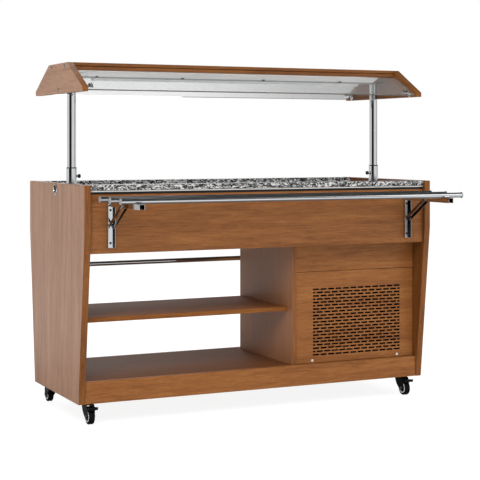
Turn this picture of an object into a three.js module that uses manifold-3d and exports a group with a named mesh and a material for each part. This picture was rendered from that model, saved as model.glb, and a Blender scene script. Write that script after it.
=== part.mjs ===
// Mobile salad bar: a wooden cabinet on casters with granite ledges round a cold well, folding
// tray slides on both long sides and a canopy that slides down over the well on two posts.
// Millimetres. X runs along the length, +Y towards the rear, +Z up from the floor.
import * as THREE from 'three';
import { mergeGeometries, mergeVertices } from 'three/addons/utils/BufferGeometryUtils.js';
import Module from 'manifold-3d';

// ---------------------------------------------------------------- driving dimensions
// Boards
const CLEARANCE = 0.3;           // between neighbouring pieces
const EDGE = 1.5;                // eased edge of a board
const BOARD = 18;                // base, divider, shelf, apron and ceiling boards

// Cabinet
const CABINET_LENGTH = 1500;
const SIDE_THICKNESS = 26;
const SIDE_DEPTH = 690;          // side panels above the waist
const FOOT_DEPTH = 552;          // side panels at their lower edge
const CABINET_TOP = 898;
const WAIST_HEIGHT = 708;        // where the side panels start to taper
const PLINTH_HEIGHT = 83;
const PLINTH_RECESS = 2;
const APRON_BOTTOM = 644;
const APRON_RECESS = 16;
const SHELF_TOP = 394;
const SHELF_FRONT_SETBACK = 62;  // behind the plinth's face
const SHELF_REAR_SETBACK = 52;
const DIVIDER_PROUD = 2;         // in front of the machine compartment's front panels
const DIVIDER_BEHIND = 4;        // behind its rear panel
const DIVIDER_GROOVE = 6;        // groove in the deck that houses the divider's foot

// Machine compartment
const MACHINE_WIDTH = 550.5;     // between the divider and the side panel
const PANEL = 16;
const PANEL_FRONT_SETBACK = 22;  // behind the plinth's face
const PANEL_REAR_SETBACK = 44;
const STRIP_HEIGHT = 110;        // plain panel above the grille
const GRILLE_ROWS = 21;
const GRILLE_COLUMNS = 12;
const SLOT_LENGTH = 26;
const SLOT_HEIGHT = 5;
const SLOT_PITCH_X = 34.7;
const SLOT_PITCH_Z = 13.2;
const GRILLE_INSET = 269;        // from the side panel to the middle of the slot field
const GRILLE_RISE = 32.7;        // from the deck to the lowest row
const VENT_COUNT = 10;           // long slots in the rear panel
const VENT_LENGTH = 380;
const VENT_HEIGHT = 8;
const VENT_PITCH = 31;
const VENT_RISE = 69;

// Top frame, granite ledges and cold well
const LEDGE_THICKNESS = 20;
const LEDGE_OVERHANG = 1;        // in front of the apron
const LEDGE_ROUND = 4;
const TRIM_HEIGHT = 8;           // pale strip under the granite
const SHADOW_GAP = 7;            // dark recess under the pale strip
const SHADOW_DEPTH = 7;
const WELL_WIDTH = 508;
const WELL_DEPTH = 160;
const WELL_WALL = 2.5;
const WELL_EDGE = 12;            // sloped lower edge inside the tub
const WELL_RIM = 13;             // from the tub's inside to the granite
const DECK_SHEET = 2;
const DRAIN_RADIUS = 16;
const DRAIN_INSET = 60;
const PAN_BARS = 3;
const PAN_BAR_WIDTH = 18;
const PAN_BAR_DEPTH = 8;

// Posts, guides and clamp knobs
const POST_INSET = 65;           // from the cabinet's end to the post's axis
const POST_GAP = 30;             // from the post's axis to the tub
const POST_RADIUS = 17;
const POST_WALL = 2;
const POST_GRIP = 164;           // stays inside the guide when the canopy is raised
const GUIDE_RADIUS = 20;
const GUIDE_RISE = 60;           // above the granite
const GUIDE_BELOW = 10;          // below the bay's ceiling
const GUIDE_FLANGE_RADIUS = 27;
const GUIDE_FLANGE = 3;
const GUIDE_SIDES = 16;          // facets round a guide or a post
const KNOB_DROP = 34;            // below the guide's upper end
const KNOB_RADIUS = 8.5;
const KNOB_LENGTH = 13;
const KNOB_NECK = 3;
const BOSS_RADIUS = 5;
const BOSS_LENGTH = 3;

// Canopy
const CANOPY_INSET = 9;          // inside the cabinet's ends
const CANOPY_END = 24;
const SERVING_HEIGHT = 347;      // from the cabinet's top to the canopy
const CANOPY_HEIGHT = 117;
const NOSE_HEIGHT = 18;
const CANOPY_HALF_DEPTH = 294;
const TOP_HALF_DEPTH = 118;
const TOP_BOARD = 28;
const TOP_GROOVE = 3;
const TOP_GROOVE_DEPTH = 6;
const TOP_STRIP = 12.5;
const BEAM_HALF_WIDTH = 20;
const BEAM_THICKNESS = 5;
const HOUSING_INSET = 33;        // from the canopy's ends
const HOUSING_HALF_WIDTH = 52;
const HOUSING_HEIGHT = 23;
const HOUSING_SLOPE = 21;
const HOUSING_WALL = 2;
const LAMP_INSET = 117;
const LAMP_HALF_WIDTH = 16;
const LAMP_DEPTH = 10;
const GLASS = 5;
const GLASS_OUT = 9;             // a pane's upper edge: out from the top board
const GLASS_DROP = 33;           // and below its upper face
const GLASS_INSET = 14;          // a pane's lower edge: in from the nose
const GLASS_LIFT = 6;            // and above the canopy's lower edge

// Folding tray slides
const PIVOT_RECESS = 5.5;        // arm's pivot behind the channel's front edge
const PIVOT_DROP = 72;           // below the cabinet's top
const BRACE_DROP = 84.5;         // from the arm's pivot to the brace's
const BRACE_REACH = 138.5;       // from the arm's pivot to the brace's upper end
const BRACKET_INSET = 106.3;     // from the cabinet's end
const CHANNEL_ABOVE = 14;        // above and below the arm's pivot
const CHANNEL_BELOW = 161;
const STEEL = 1.5;
const PIN_RADIUS = 3;
const PIN_CLEARANCE = 0.6;
const PIN_HEAD = 1.5;            // how far a pin stands out of the channel
const BRACE_WIDTH = 25;
const BRACE_WALL = 1.6;
const BRACE_WEB = 1;
const BRACE_TAPER = 10;
const RIVET = 2;
const BRACE_BACK = 8.3;          // from the pivot line to the brace's closed side
const BRACE_FACE = 6;            // from the pivot line to its open side
const ARM_GAP = 0.4;             // between the arm and the brace
const ARM_BELOW = 7;             // from the pivot to the arm's open side
const ARM_ABOVE = 13;
const ARM_LENGTH = 312.5;
const ARM_ROUND = 4;
const RAIL_RADIUS = 10;
const RAIL_OVERHANG = 70.3;      // beyond the arms
const RAIL_START = 65.2;         // from the pivot to the first rail
const RAIL_PITCH = 108.7;
const RAILS = 3;
const RAIL_CAP_RADIUS = 12;
const RAIL_CAP = 3;
const WELD = 0.5;                // how far a rail sinks into its weld on the arm

// Casters
const CASTER_INSET = 58;         // swivel axes from the cabinet's ends
const CASTER_FRONT_INSET = 66;   // and from the side panels' lower corners
const CASTER_REAR_INSET = 38;
const CASTER_HEAD = 22;          // from the wheel's top to the underside of the base
const WHEEL_RADIUS = 30;
const WHEEL_WIDTH = 26;
const WHEEL_HUB = 10;
const HUB_STEP = 3;              // how far the wheel's web lies inside its hub
const TREAD = 7;
const TREAD_EASE = 2;            // each step of the tyre's rounded shoulders
const WHEEL_PLAY = 0.5;
const TRAIL = 28;
const CASTER_PLATE = 4;
const PLATE_SIZE = 52;
const PLATE_PAD = 16;            // where the plate is fastened to the bottom board
const FORK_WALL = 2.5;
const CROWN_RADIUS = 22;
const CROWN_HEIGHT = 9;
const CROWN_TAPER = 3;
const CHEEK_SINK = 2;            // how far the cheeks reach into the crown
const CHEEK_SHOULDER = 16;       // from the crown's top to where the cheeks draw in
const CHEEK_BOSS = 12;           // round end of a cheek about the axle
const CHEEK_FLARE = 4;           // how far a cheek's edges swing out on their way down
const AXLE_RADIUS = 4;
const AXLE_PLAY = 0.4;
const AXLE_HEAD = 3;
const PEDAL_REACH = 68;          // from the swivel axis
const PEDAL_WIDTH = 38;
const PEDAL_HINGE = 16;          // from the swivel axis
const PEDAL_GAP = 2.2;           // above the wheel
const PEDAL_NECK = 3;
const PEDAL_LAP = 4;             // how far the neck runs past its hinge and into the pad
const PEDAL_LEAD = 20;           // from the axle to the pad
const PEDAL_THICK = 5;
const PEDAL_LIP = 10;            // turned-up end of the pad

// Finger cups in the side panels
const CUP_RIM = 22;
const CUP_RADIUS = 18.5;
const CUP_DEPTH = 13;
const CUP_WALL = 2;
const CUP_DROP = 24;             // below the cabinet's top
const CUP_Y = 5;

// Machinery
const COMPRESSOR_INSET = 134;    // axis from the side panel
const COMPRESSOR_GAP = 124;      // and from the rear panel
const COMPRESSOR_RADIUS = 75;
const COMPRESSOR_HEIGHT = 162;
const COMPRESSOR_SEAM = 80;      // height of the welded seam
const SEAM_WIDTH = 7;
const SEAM_PROUD = 4;
const COMPRESSOR_FOOT = 6;
const CONDENSER_INSET = 324;     // middle from the side panel
const CONDENSER_GAP = 71;        // and from the front panels
const CONDENSER_WIDTH = 300;
const CONDENSER_HEIGHT = 250;
const CONDENSER_DEPTH = 44;
const FINS = 12;
const FIN_DEPTH = 12;
const SHROUD_DEPTH = 34;
const FAN_RADIUS = 92;
const FAN_GAP = 5;               // between the blades and the shroud
const FAN_SETBACK = 20;          // behind the condenser's core
const FAN_BLADES = 5;
const FAN_PITCH = 0.42;          // radians
const BLADE = 1.6;
const HUB_RADIUS = 20;
const HUB_LENGTH = 16;
const MOTOR_RADIUS = 26;
const MOTOR_LENGTH = 44;
const SHAFT_RADIUS = 4;
const SHAFT_LENGTH = 13.7;
const STAND_HALF_WIDTH = 16;
const STAND_SHEET = 4;
const STAND_FOOT = 30;

// ---------------------------------------------------------------- derived places
const UNDERSIDE = 2 * WHEEL_RADIUS + CASTER_HEAD;
const INNER_X = CABINET_LENGTH / 2 - SIDE_THICKNESS;
const APRON_FACE = SIDE_DEPTH / 2 - APRON_RECESS;
const APRON_INNER = APRON_FACE - BOARD;
const DECK_TOP = UNDERSIDE + PLINTH_HEIGHT;
const PLINTH_FACE = FOOT_DEPTH / 2 - PLINTH_RECESS;
const SHELF_FRONT = PLINTH_FACE - SHELF_FRONT_SETBACK;
const SHELF_REAR = PLINTH_FACE - SHELF_REAR_SETBACK;
const PANEL_FRONT = PLINTH_FACE - PANEL_FRONT_SETBACK;
const PANEL_REAR = PLINTH_FACE - PANEL_REAR_SETBACK;
const DIVIDER_FRONT = PANEL_FRONT + DIVIDER_PROUD;
const DIVIDER_REAR = PANEL_REAR + DIVIDER_BEHIND;
const MACHINE_LEFT = INNER_X - MACHINE_WIDTH;
const BAY_RIGHT = MACHINE_LEFT - BOARD;
const STRIP_BOTTOM = APRON_BOTTOM - STRIP_HEIGHT;
const GRILLE_X = INNER_X - GRILLE_INSET;

const LEDGE_BOTTOM = CABINET_TOP - LEDGE_THICKNESS;
const LEDGE_OUTER = APRON_FACE + LEDGE_OVERHANG;
const LEDGE_INNER = WELL_WIDTH / 2 + WELL_RIM;
const APRON_TOP = LEDGE_BOTTOM - TRIM_HEIGHT - SHADOW_GAP;
const POST_X = CABINET_LENGTH / 2 - POST_INSET;
const WELL_OUTER_X = POST_X - POST_GAP;
const WELL_OUTER_Y = WELL_WIDTH / 2 + WELL_WALL;
const WELL_LENGTH = 2 * (WELL_OUTER_X - WELL_WALL);   // room for four pans of 325 side by side
const WELL_FLOOR = LEDGE_BOTTOM - WELL_DEPTH;

const GUIDE_TOP = CABINET_TOP + GUIDE_RISE;
const GUIDE_BOTTOM = APRON_BOTTOM - GUIDE_BELOW;
const POST_BOTTOM = GUIDE_TOP - POST_GRIP;
const KNOB_HEIGHT = GUIDE_TOP - KNOB_DROP;

const CANOPY_LENGTH = CABINET_LENGTH - 2 * CANOPY_INSET;
const CANOPY_INNER = CANOPY_LENGTH / 2 - CANOPY_END;
const CANOPY_BOTTOM = CABINET_TOP + SERVING_HEIGHT;
const CANOPY_TOP = CANOPY_BOTTOM + CANOPY_HEIGHT;
const HOUSING_TOP = CANOPY_TOP - TOP_BOARD;
const POST_TOP = HOUSING_TOP - HOUSING_HEIGHT - BEAM_THICKNESS;
const GLASS_TOP = [-TOP_HALF_DEPTH - GLASS_OUT, CANOPY_TOP - GLASS_DROP];
const GLASS_LOW = [-CANOPY_HALF_DEPTH + GLASS_INSET, CANOPY_BOTTOM + GLASS_LIFT];

const CHANNEL_FRONT = SIDE_DEPTH / 2;
const CHANNEL_WIDTH = BRACE_WIDTH + 2 * (STEEL + CLEARANCE);
const SLIDE_PIVOT_Y = CHANNEL_FRONT - PIVOT_RECESS;
const SLIDE_PIVOT_Z = CABINET_TOP - PIVOT_DROP;
const BRACE_PIVOT_Z = SLIDE_PIVOT_Z - BRACE_DROP;
const CHANNEL_TOP = SLIDE_PIVOT_Z + CHANNEL_ABOVE;
const CHANNEL_BOTTOM = SLIDE_PIVOT_Z - CHANNEL_BELOW;
const BRACKET_X = CABINET_LENGTH / 2 - BRACKET_INSET;
const ARM_WIDTH = BRACE_WIDTH - 2 * (BRACE_WALL + ARM_GAP);
const ARM_TIP = SLIDE_PIVOT_Y + ARM_LENGTH;
const RAIL_ABOVE = ARM_ABOVE + RAIL_RADIUS - WELD;
const RAIL_LENGTH = 2 * (BRACKET_X + RAIL_OVERHANG);

const CASTER_X = CABINET_LENGTH / 2 - CASTER_INSET;
const CASTER_FRONT = FOOT_DEPTH / 2 - CASTER_FRONT_INSET;
const CASTER_REAR = FOOT_DEPTH / 2 - CASTER_REAR_INSET;
const FORK_GAP = WHEEL_WIDTH + 2 * WHEEL_PLAY;
const CUP_HEIGHT = CABINET_TOP - CUP_DROP;

const COMPRESSOR_X = INNER_X - COMPRESSOR_INSET;
const COMPRESSOR_Y = PANEL_REAR - PANEL - COMPRESSOR_GAP;
const CONDENSER_X = INNER_X - CONDENSER_INSET;
const CONDENSER_Y = -PANEL_FRONT + PANEL + CONDENSER_GAP;
const FAN_Y = CONDENSER_Y + CONDENSER_DEPTH / 2 + FAN_SETBACK;
const FAN_Z = DECK_TOP + CLEARANCE + CONDENSER_HEIGHT / 2;

// ---------------------------------------------------------------- materials
const wood = new THREE.MeshStandardMaterial({ color: 0x8f5c33, roughness: 0.5, metalness: 0 });
const sideWood = new THREE.MeshStandardMaterial({ color: 0xa9805f, roughness: 0.5, metalness: 0 });
const darkWood = new THREE.MeshStandardMaterial({ color: 0x7a4a28, roughness: 0.55, metalness: 0 });
const granite = new THREE.MeshStandardMaterial({ color: 0x8d8d8d, roughness: 0.25, metalness: 0 });
const steel = new THREE.MeshStandardMaterial({ color: 0xc6c8ca, roughness: 0.3, metalness: 1 });
const chrome = new THREE.MeshStandardMaterial({ color: 0xdadada, roughness: 0.08, metalness: 1 });
const zinc = new THREE.MeshStandardMaterial({ color: 0x9aa0a4, roughness: 0.35, metalness: 1 });
const paleTrim = new THREE.MeshStandardMaterial({ color: 0xe4e2de, roughness: 0.4, metalness: 0 });
const paleGrey = new THREE.MeshStandardMaterial({ color: 0xc4c4c4, roughness: 0.45, metalness: 0.2 });
const lampWhite = new THREE.MeshStandardMaterial({ color: 0xeeeeea, roughness: 0.3, metalness: 0 });
const black = new THREE.MeshStandardMaterial({ color: 0x161616, roughness: 0.5, metalness: 0 });
const rubber = new THREE.MeshStandardMaterial({ color: 0x1c1c1c, roughness: 0.8, metalness: 0 });
const aluminium = new THREE.MeshStandardMaterial({ color: 0x9a9c9e, roughness: 0.4, metalness: 0.9 });
const clear = new THREE.MeshStandardMaterial({
  color: 0xe8f2f2, roughness: 0.05, metalness: 0, transparent: true, opacity: 0.3,
});

// ---------------------------------------------------------------- solid helpers
const wasm = await Module();
wasm.setup();

function toSolid(geometry) {
  const bare = geometry.clone();
  bare.deleteAttribute('normal');
  bare.deleteAttribute('uv');
  const merged = mergeVertices(bare, 1e-4);
  return new wasm.Manifold(new wasm.Mesh({
    numProp: 3,
    vertProperties: new Float32Array(merged.attributes.position.array),
    triVerts: new Uint32Array(merged.index.array),
  }));
}

function toGeometry(solid) {
  const mesh = solid.getMesh();
  const geometry = new THREE.BufferGeometry();
  geometry.setAttribute('position', new THREE.BufferAttribute(mesh.vertProperties, 3));
  geometry.setIndex(new THREE.BufferAttribute(mesh.triVerts, 1));
  geometry.computeVertexNormals();
  return geometry;
}

function cut(body, ...tools) {
  return toGeometry(tools.reduce((rest, tool) => rest.subtract(toSolid(tool)), toSolid(body)));
}

function join(...bodies) {
  return toGeometry(bodies.map(toSolid).reduce((sum, body) => sum.add(body)));
}

// A block from its lowest to its highest corner.
function block(x0, x1, y0, y1, z0, z1) {
  const geometry = new THREE.BoxGeometry(x1 - x0, y1 - y0, z1 - z0);
  return geometry.translate((x0 + x1) / 2, (y0 + y1) / 2, (z0 + z1) / 2);
}

// A board with eased edges, from its lowest to its highest corner.
function board(x0, x1, y0, y1, z0, z1, edge = EDGE) {
  const outline = polygon([[x0, y0], [x1, y0], [x1, y1], [x0, y1]]);
  return eased(outline, z1 - z0, edge).translate(0, 0, z0);
}

// An outline extruded from 0 to height, with its edges eased inside the outline.
function eased(outline, height, edge) {
  const geometry = new THREE.ExtrudeGeometry(outline, {
    depth: height - 2 * edge,
    bevelEnabled: true,
    bevelThickness: edge,
    bevelSize: edge,
    bevelOffset: -edge,
    bevelSegments: 1,
  });
  return geometry.translate(0, 0, edge);
}

function extruded(outline, height, curveSegments = 8) {
  return new THREE.ExtrudeGeometry(outline, { depth: height, bevelEnabled: false, curveSegments });
}

function polygon(points) {
  return new THREE.Shape(points.map(([x, y]) => new THREE.Vector2(x, y)));
}

// Turns an extrusion drawn in Y and Z so that it runs along X, centred on x = middle.
function alongX(geometry, length, middle = 0) {
  const turn = new THREE.Matrix4().makeBasis(
    new THREE.Vector3(0, 1, 0), new THREE.Vector3(0, 0, 1), new THREE.Vector3(1, 0, 0));
  return geometry.applyMatrix4(turn).translate(middle - length / 2, 0, 0);
}

// A turned solid about Z from [radius, height] pairs.
function turned(profile, sides) {
  const points = profile.map(([radius, height]) => new THREE.Vector2(radius, height));
  return new THREE.LatheGeometry(points, sides).rotateX(Math.PI / 2);
}

// A plain round bar along X.
function barX(radius, length, sides, x, y, z) {
  const bar = new THREE.CylinderGeometry(radius, radius, length, sides);
  return bar.rotateZ(Math.PI / 2).translate(x, y, z);
}

// A plain round bar along Z, from low to high.
function barZ(radius, low, high, sides, x = 0, y = 0) {
  const bar = new THREE.CylinderGeometry(radius, radius, high - low, sides);
  return bar.rotateX(Math.PI / 2).translate(x, y, (low + high) / 2);
}

const model = new THREE.Group();

function add(name, geometry, material, parent = model) {
  const mesh = new THREE.Mesh(geometry, material);
  mesh.name = name;
  parent.add(mesh);
  return mesh;
}

// ---------------------------------------------------------------- cabinet
function sidePanel(side) {
  const outline = polygon([
    [-FOOT_DEPTH / 2, UNDERSIDE], [FOOT_DEPTH / 2, UNDERSIDE],
    [SIDE_DEPTH / 2, WAIST_HEIGHT], [SIDE_DEPTH / 2, CABINET_TOP],
    [-SIDE_DEPTH / 2, CABINET_TOP], [-SIDE_DEPTH / 2, WAIST_HEIGHT],
  ]);
  const middle = side * (CABINET_LENGTH - SIDE_THICKNESS) / 2;
  const panel = alongX(eased(outline, SIDE_THICKNESS, EDGE), SIDE_THICKNESS, middle);
  const faceX = side * CABINET_LENGTH / 2;
  const seat = barX(CUP_RADIUS + CLEARANCE, 2 * (CUP_DEPTH + CLEARANCE), 16, faceX, CUP_Y, CUP_HEIGHT);
  return cut(panel, seat);
}

function fingerCup(side) {
  const inside = CUP_RADIUS - CUP_WALL;
  const profile = [
    [0, -CUP_DEPTH], [CUP_RADIUS, -CUP_DEPTH], [CUP_RADIUS, CLEARANCE],
    [CUP_RIM, CLEARANCE], [CUP_RIM - 1, CLEARANCE + CUP_WALL], [inside, CLEARANCE],
    [inside, CUP_WALL - CUP_DEPTH], [0, CUP_WALL - CUP_DEPTH],
  ];
  const cup = turned(profile, 16).rotateY(side * Math.PI / 2);
  return cup.translate(side * CABINET_LENGTH / 2, CUP_Y, CUP_HEIGHT);
}

// Each caster's swivel axis, and the way its wheel trails from it: +1 to the rear, -1 to the front.
const CASTERS = {
  front_left: { x: -CASTER_X, y: -CASTER_FRONT, trail: -1 },
  front_right: { x: CASTER_X, y: -CASTER_FRONT, trail: -1 },
  rear_left: { x: -CASTER_X, y: CASTER_REAR, trail: 1 },
  rear_right: { x: CASTER_X, y: CASTER_REAR, trail: 1 },
};

// The bottom board with the four caster plates on its underside.
function baseBottom() {
  const reach = INNER_X - CLEARANCE;
  const inner = PLINTH_FACE - BOARD - CLEARANCE;
  const bottom = board(-reach, reach, -inner, inner, UNDERSIDE, UNDERSIDE + BOARD);
  const half = PLATE_SIZE / 2;
  const plateTop = UNDERSIDE - CLEARANCE;
  const plates = Object.values(CASTERS).map(({ x, y }) => block(x - half, x + half,
    y - half, y + half, UNDERSIDE - CASTER_PLATE, plateTop));
  const pad = PLATE_PAD / 2;
  const pads = Object.values(CASTERS).map(({ x, y }) => block(x - pad, x + pad,
    y - pad, y + pad, plateTop - 1, UNDERSIDE + 2));
  return join(bottom, ...plates, ...pads);
}

// The deck, with a groove across it for the divider's foot.
function deck() {
  const reach = INNER_X - CLEARANCE;
  const half = PLINTH_FACE - BOARD - CLEARANCE;
  const groove = block(BAY_RIGHT - CLEARANCE, MACHINE_LEFT + CLEARANCE, -half - 1, half + 1,
    DECK_TOP - DIVIDER_GROOVE, DECK_TOP + 1);
  return cut(board(-reach, reach, -half, half, DECK_TOP - BOARD, DECK_TOP), groove);
}

// The divider, with its foot running the full depth of the deck.
function divider() {
  const low = DECK_TOP - DIVIDER_GROOVE + CLEARANCE;
  const upright = board(BAY_RIGHT, MACHINE_LEFT, -DIVIDER_FRONT, DIVIDER_REAR, low,
    APRON_BOTTOM - CLEARANCE);
  const foot = block(BAY_RIGHT, MACHINE_LEFT, DIVIDER_REAR - 2 * EDGE,
    PLINTH_FACE - BOARD - CLEARANCE, low, DECK_TOP);
  return join(upright, foot);
}

function cabinet() {
  const reach = INNER_X - CLEARANCE;
  add('side_panel_left', sidePanel(-1), sideWood);
  add('side_panel_right', sidePanel(1), sideWood);
  add('finger_cup_left', fingerCup(-1), chrome);
  add('finger_cup_right', fingerCup(1), chrome);
  add('plinth_front', board(-reach, reach, -PLINTH_FACE, -PLINTH_FACE + BOARD,
    UNDERSIDE, DECK_TOP), wood);
  add('plinth_rear', board(-reach, reach, PLINTH_FACE - BOARD, PLINTH_FACE,
    UNDERSIDE, DECK_TOP), wood);
  add('base_deck', deck(), darkWood);
  add('base_bottom', baseBottom(), darkWood);
  add('divider', divider(), wood);
  add('middle_shelf', board(-reach, BAY_RIGHT - CLEARANCE, -SHELF_FRONT, SHELF_REAR,
    SHELF_TOP - BOARD, SHELF_TOP), wood);
  add('apron_front', board(-reach, reach, -APRON_FACE, -APRON_INNER, APRON_BOTTOM, APRON_TOP), wood);
  add('apron_rear', board(-reach, reach, APRON_INNER, APRON_FACE, APRON_BOTTOM, APRON_TOP), wood);
  const ceilingHalf = APRON_INNER - CLEARANCE;
  const ceiling = board(-reach, reach, -ceilingHalf, ceilingHalf, APRON_BOTTOM, APRON_BOTTOM + BOARD);
  add('bay_ceiling', cut(ceiling, ...guideHoles(APRON_BOTTOM - 1, APRON_BOTTOM + BOARD + 1)), darkWood);
}

// ---------------------------------------------------------------- machine compartment
// The block that a slot takes out of a panel whose front face is at y = front.
function slot(left, right, middle, height, front) {
  return block(left, right, front - 1, front + PANEL + 1, middle - height / 2, middle + height / 2);
}

// Slots in staggered rows: odd rows hold full slots, even rows start and end with a half slot.
function grilleSlots() {
  const slots = [];
  const fieldLeft = GRILLE_X - (GRILLE_COLUMNS * SLOT_PITCH_X - (SLOT_PITCH_X - SLOT_LENGTH)) / 2;
  const fieldRight = fieldLeft + (GRILLE_COLUMNS - 1) * SLOT_PITCH_X + SLOT_LENGTH;
  for (let row = 0; row < GRILLE_ROWS; row += 1) {
    const middle = DECK_TOP + GRILLE_RISE + row * SLOT_PITCH_Z;
    const shift = row % 2 === 0 ? 0 : -SLOT_PITCH_X / 2;
    const count = row % 2 === 0 ? GRILLE_COLUMNS : GRILLE_COLUMNS + 1;
    for (let column = 0; column < count; column += 1) {
      const left = Math.max(fieldLeft, fieldLeft + shift + column * SLOT_PITCH_X);
      const right = Math.min(fieldRight, fieldLeft + shift + column * SLOT_PITCH_X + SLOT_LENGTH);
      slots.push(slot(left, right, middle, SLOT_HEIGHT, -PANEL_FRONT));
    }
  }
  return slots;
}

function machinePanel(low, high, front) {
  const left = MACHINE_LEFT + CLEARANCE;
  const right = INNER_X - CLEARANCE;
  return board(left, right, front, front + PANEL, low, high, 1);
}

// A hermetic pot with its welded seam and domed lid, on two feet.
function compressor() {
  const seamTop = COMPRESSOR_SEAM + SEAM_WIDTH;
  const profile = [
    [0, 0], [COMPRESSOR_RADIUS - SEAM_WIDTH, 0], [COMPRESSOR_RADIUS, SEAM_WIDTH],
    [COMPRESSOR_RADIUS, COMPRESSOR_SEAM], [COMPRESSOR_RADIUS + SEAM_PROUD, COMPRESSOR_SEAM],
    [COMPRESSOR_RADIUS + SEAM_PROUD, seamTop],
  ];
  const domeSteps = 3;
  for (let step = 0; step < domeSteps; step += 1) {
    const angle = (step / domeSteps) * Math.PI / 2;
    profile.push([COMPRESSOR_RADIUS * Math.cos(angle),
      seamTop + (COMPRESSOR_HEIGHT - seamTop) * Math.sin(angle)]);
  }
  profile.push([0, COMPRESSOR_HEIGHT]);
  const reach = COMPRESSOR_RADIUS + 3 * COMPRESSOR_FOOT;
  const apart = COMPRESSOR_RADIUS / 2;
  const foot = block(-reach, reach, -2 * COMPRESSOR_FOOT, 2 * COMPRESSOR_FOOT,
    -COMPRESSOR_FOOT, COMPRESSOR_FOOT / 2);
  const pot = join(turned(profile, 12), foot.clone().translate(0, -apart, 0),
    foot.translate(0, apart, 0));
  return pot.translate(COMPRESSOR_X, COMPRESSOR_Y, DECK_TOP + COMPRESSOR_FOOT + CLEARANCE);
}

// A finned block with the fan's shroud behind it, standing on the deck.
function condenser() {
  const pitch = CONDENSER_WIDTH / FINS;
  const left = CONDENSER_X - CONDENSER_WIDTH / 2;
  const right = left + CONDENSER_WIDTH;
  const front = CONDENSER_Y - CONDENSER_DEPTH / 2;
  const back = front + CONDENSER_DEPTH;
  const points = [[left, back]];
  for (let fin = 0; fin < FINS; fin += 1) {
    const x = left + fin * pitch;
    const thick = pitch / 3;
    points.push([x, front], [x + thick, front], [x + thick, front + FIN_DEPTH],
      [x + pitch, front + FIN_DEPTH]);
  }
  points.push([right, back]);
  const core = extruded(polygon(points), CONDENSER_HEIGHT);
  const shroud = block(left, right, back - 1, back + SHROUD_DEPTH, 0, CONDENSER_HEIGHT);
  const bore = new THREE.CylinderGeometry(FAN_RADIUS + FAN_GAP, FAN_RADIUS + FAN_GAP,
    SHROUD_DEPTH, 16);
  bore.translate(CONDENSER_X, back + SHROUD_DEPTH / 2 + 2, CONDENSER_HEIGHT / 2);
  return cut(join(core, shroud), bore).translate(0, 0, DECK_TOP + CLEARANCE);
}

// A blade along +X, narrow at the hub and swept at the tip.
function blade() {
  const root = 0.7 * HUB_RADIUS;
  const rootHalf = 0.55 * HUB_RADIUS;
  const tipHalf = FAN_RADIUS / 3;
  const outline = new THREE.Shape();
  outline.moveTo(root, -rootHalf);
  outline.quadraticCurveTo(0.65 * FAN_RADIUS, -1.1 * tipHalf, 0.95 * FAN_RADIUS, -tipHalf);
  outline.quadraticCurveTo(1.03 * FAN_RADIUS, 0, 0.85 * FAN_RADIUS, 0.85 * tipHalf);
  outline.quadraticCurveTo(0.55 * FAN_RADIUS, 1.2 * rootHalf, root, rootHalf);
  return extruded(outline, BLADE, 2).rotateX(-Math.PI / 2).rotateX(FAN_PITCH);
}

function condenserFan() {
  const hub = new THREE.CylinderGeometry(HUB_RADIUS, HUB_RADIUS, HUB_LENGTH, 10);
  const blades = [];
  for (let i = 0; i < FAN_BLADES; i += 1) {
    blades.push(blade().rotateY(i * 2 * Math.PI / FAN_BLADES));
  }
  return join(hub, ...blades);
}

// The fan's motor on its bracket, standing on the deck behind the fan.
function fanMotor() {
  const shaftStart = HUB_LENGTH / 2 + CLEARANCE;
  const motorStart = shaftStart + SHAFT_LENGTH;
  const body = new THREE.CylinderGeometry(MOTOR_RADIUS, MOTOR_RADIUS, MOTOR_LENGTH, 12);
  body.translate(0, motorStart + MOTOR_LENGTH / 2, 0);
  const shaft = new THREE.CylinderGeometry(SHAFT_RADIUS, SHAFT_RADIUS, SHAFT_LENGTH + 2, 8);
  shaft.translate(0, shaftStart + (SHAFT_LENGTH + 2) / 2, 0);
  const floor = DECK_TOP + CLEARANCE - FAN_Z;
  const back = motorStart + MOTOR_LENGTH / 2;
  const stand = block(-STAND_HALF_WIDTH, STAND_HALF_WIDTH, back - STAND_SHEET, back, floor, 0);
  const foot = block(-STAND_HALF_WIDTH, STAND_HALF_WIDTH, back - STAND_SHEET, back + STAND_FOOT,
    floor, floor + STAND_SHEET);
  return join(body, shaft, stand, foot);
}

function machinery() {
  add('front_strip_panel', machinePanel(STRIP_BOTTOM + CLEARANCE, APRON_BOTTOM - CLEARANCE,
    -PANEL_FRONT), wood);
  const grille = machinePanel(DECK_TOP + CLEARANCE, STRIP_BOTTOM, -PANEL_FRONT);
  add('front_grille_panel', cut(grille, mergeGeometries(grilleSlots())), wood);
  const rearFront = PANEL_REAR - PANEL;
  const vents = [];
  for (let row = 0; row < VENT_COUNT; row += 1) {
    vents.push(slot(GRILLE_X - VENT_LENGTH / 2, GRILLE_X + VENT_LENGTH / 2,
      DECK_TOP + VENT_RISE + row * VENT_PITCH, VENT_HEIGHT, rearFront));
  }
  const rearPanel = machinePanel(DECK_TOP + CLEARANCE, APRON_BOTTOM - CLEARANCE, rearFront);
  add('rear_vent_panel', cut(rearPanel, mergeGeometries(vents)), wood);
  add('compressor', compressor(), black);
  add('condenser', condenser(), aluminium);
  add('condenser_fan', condenserFan(), black).position.set(CONDENSER_X, FAN_Y, FAN_Z);
  add('fan_motor', fanMotor(), zinc).position.set(CONDENSER_X, FAN_Y, FAN_Z);
}

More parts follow.
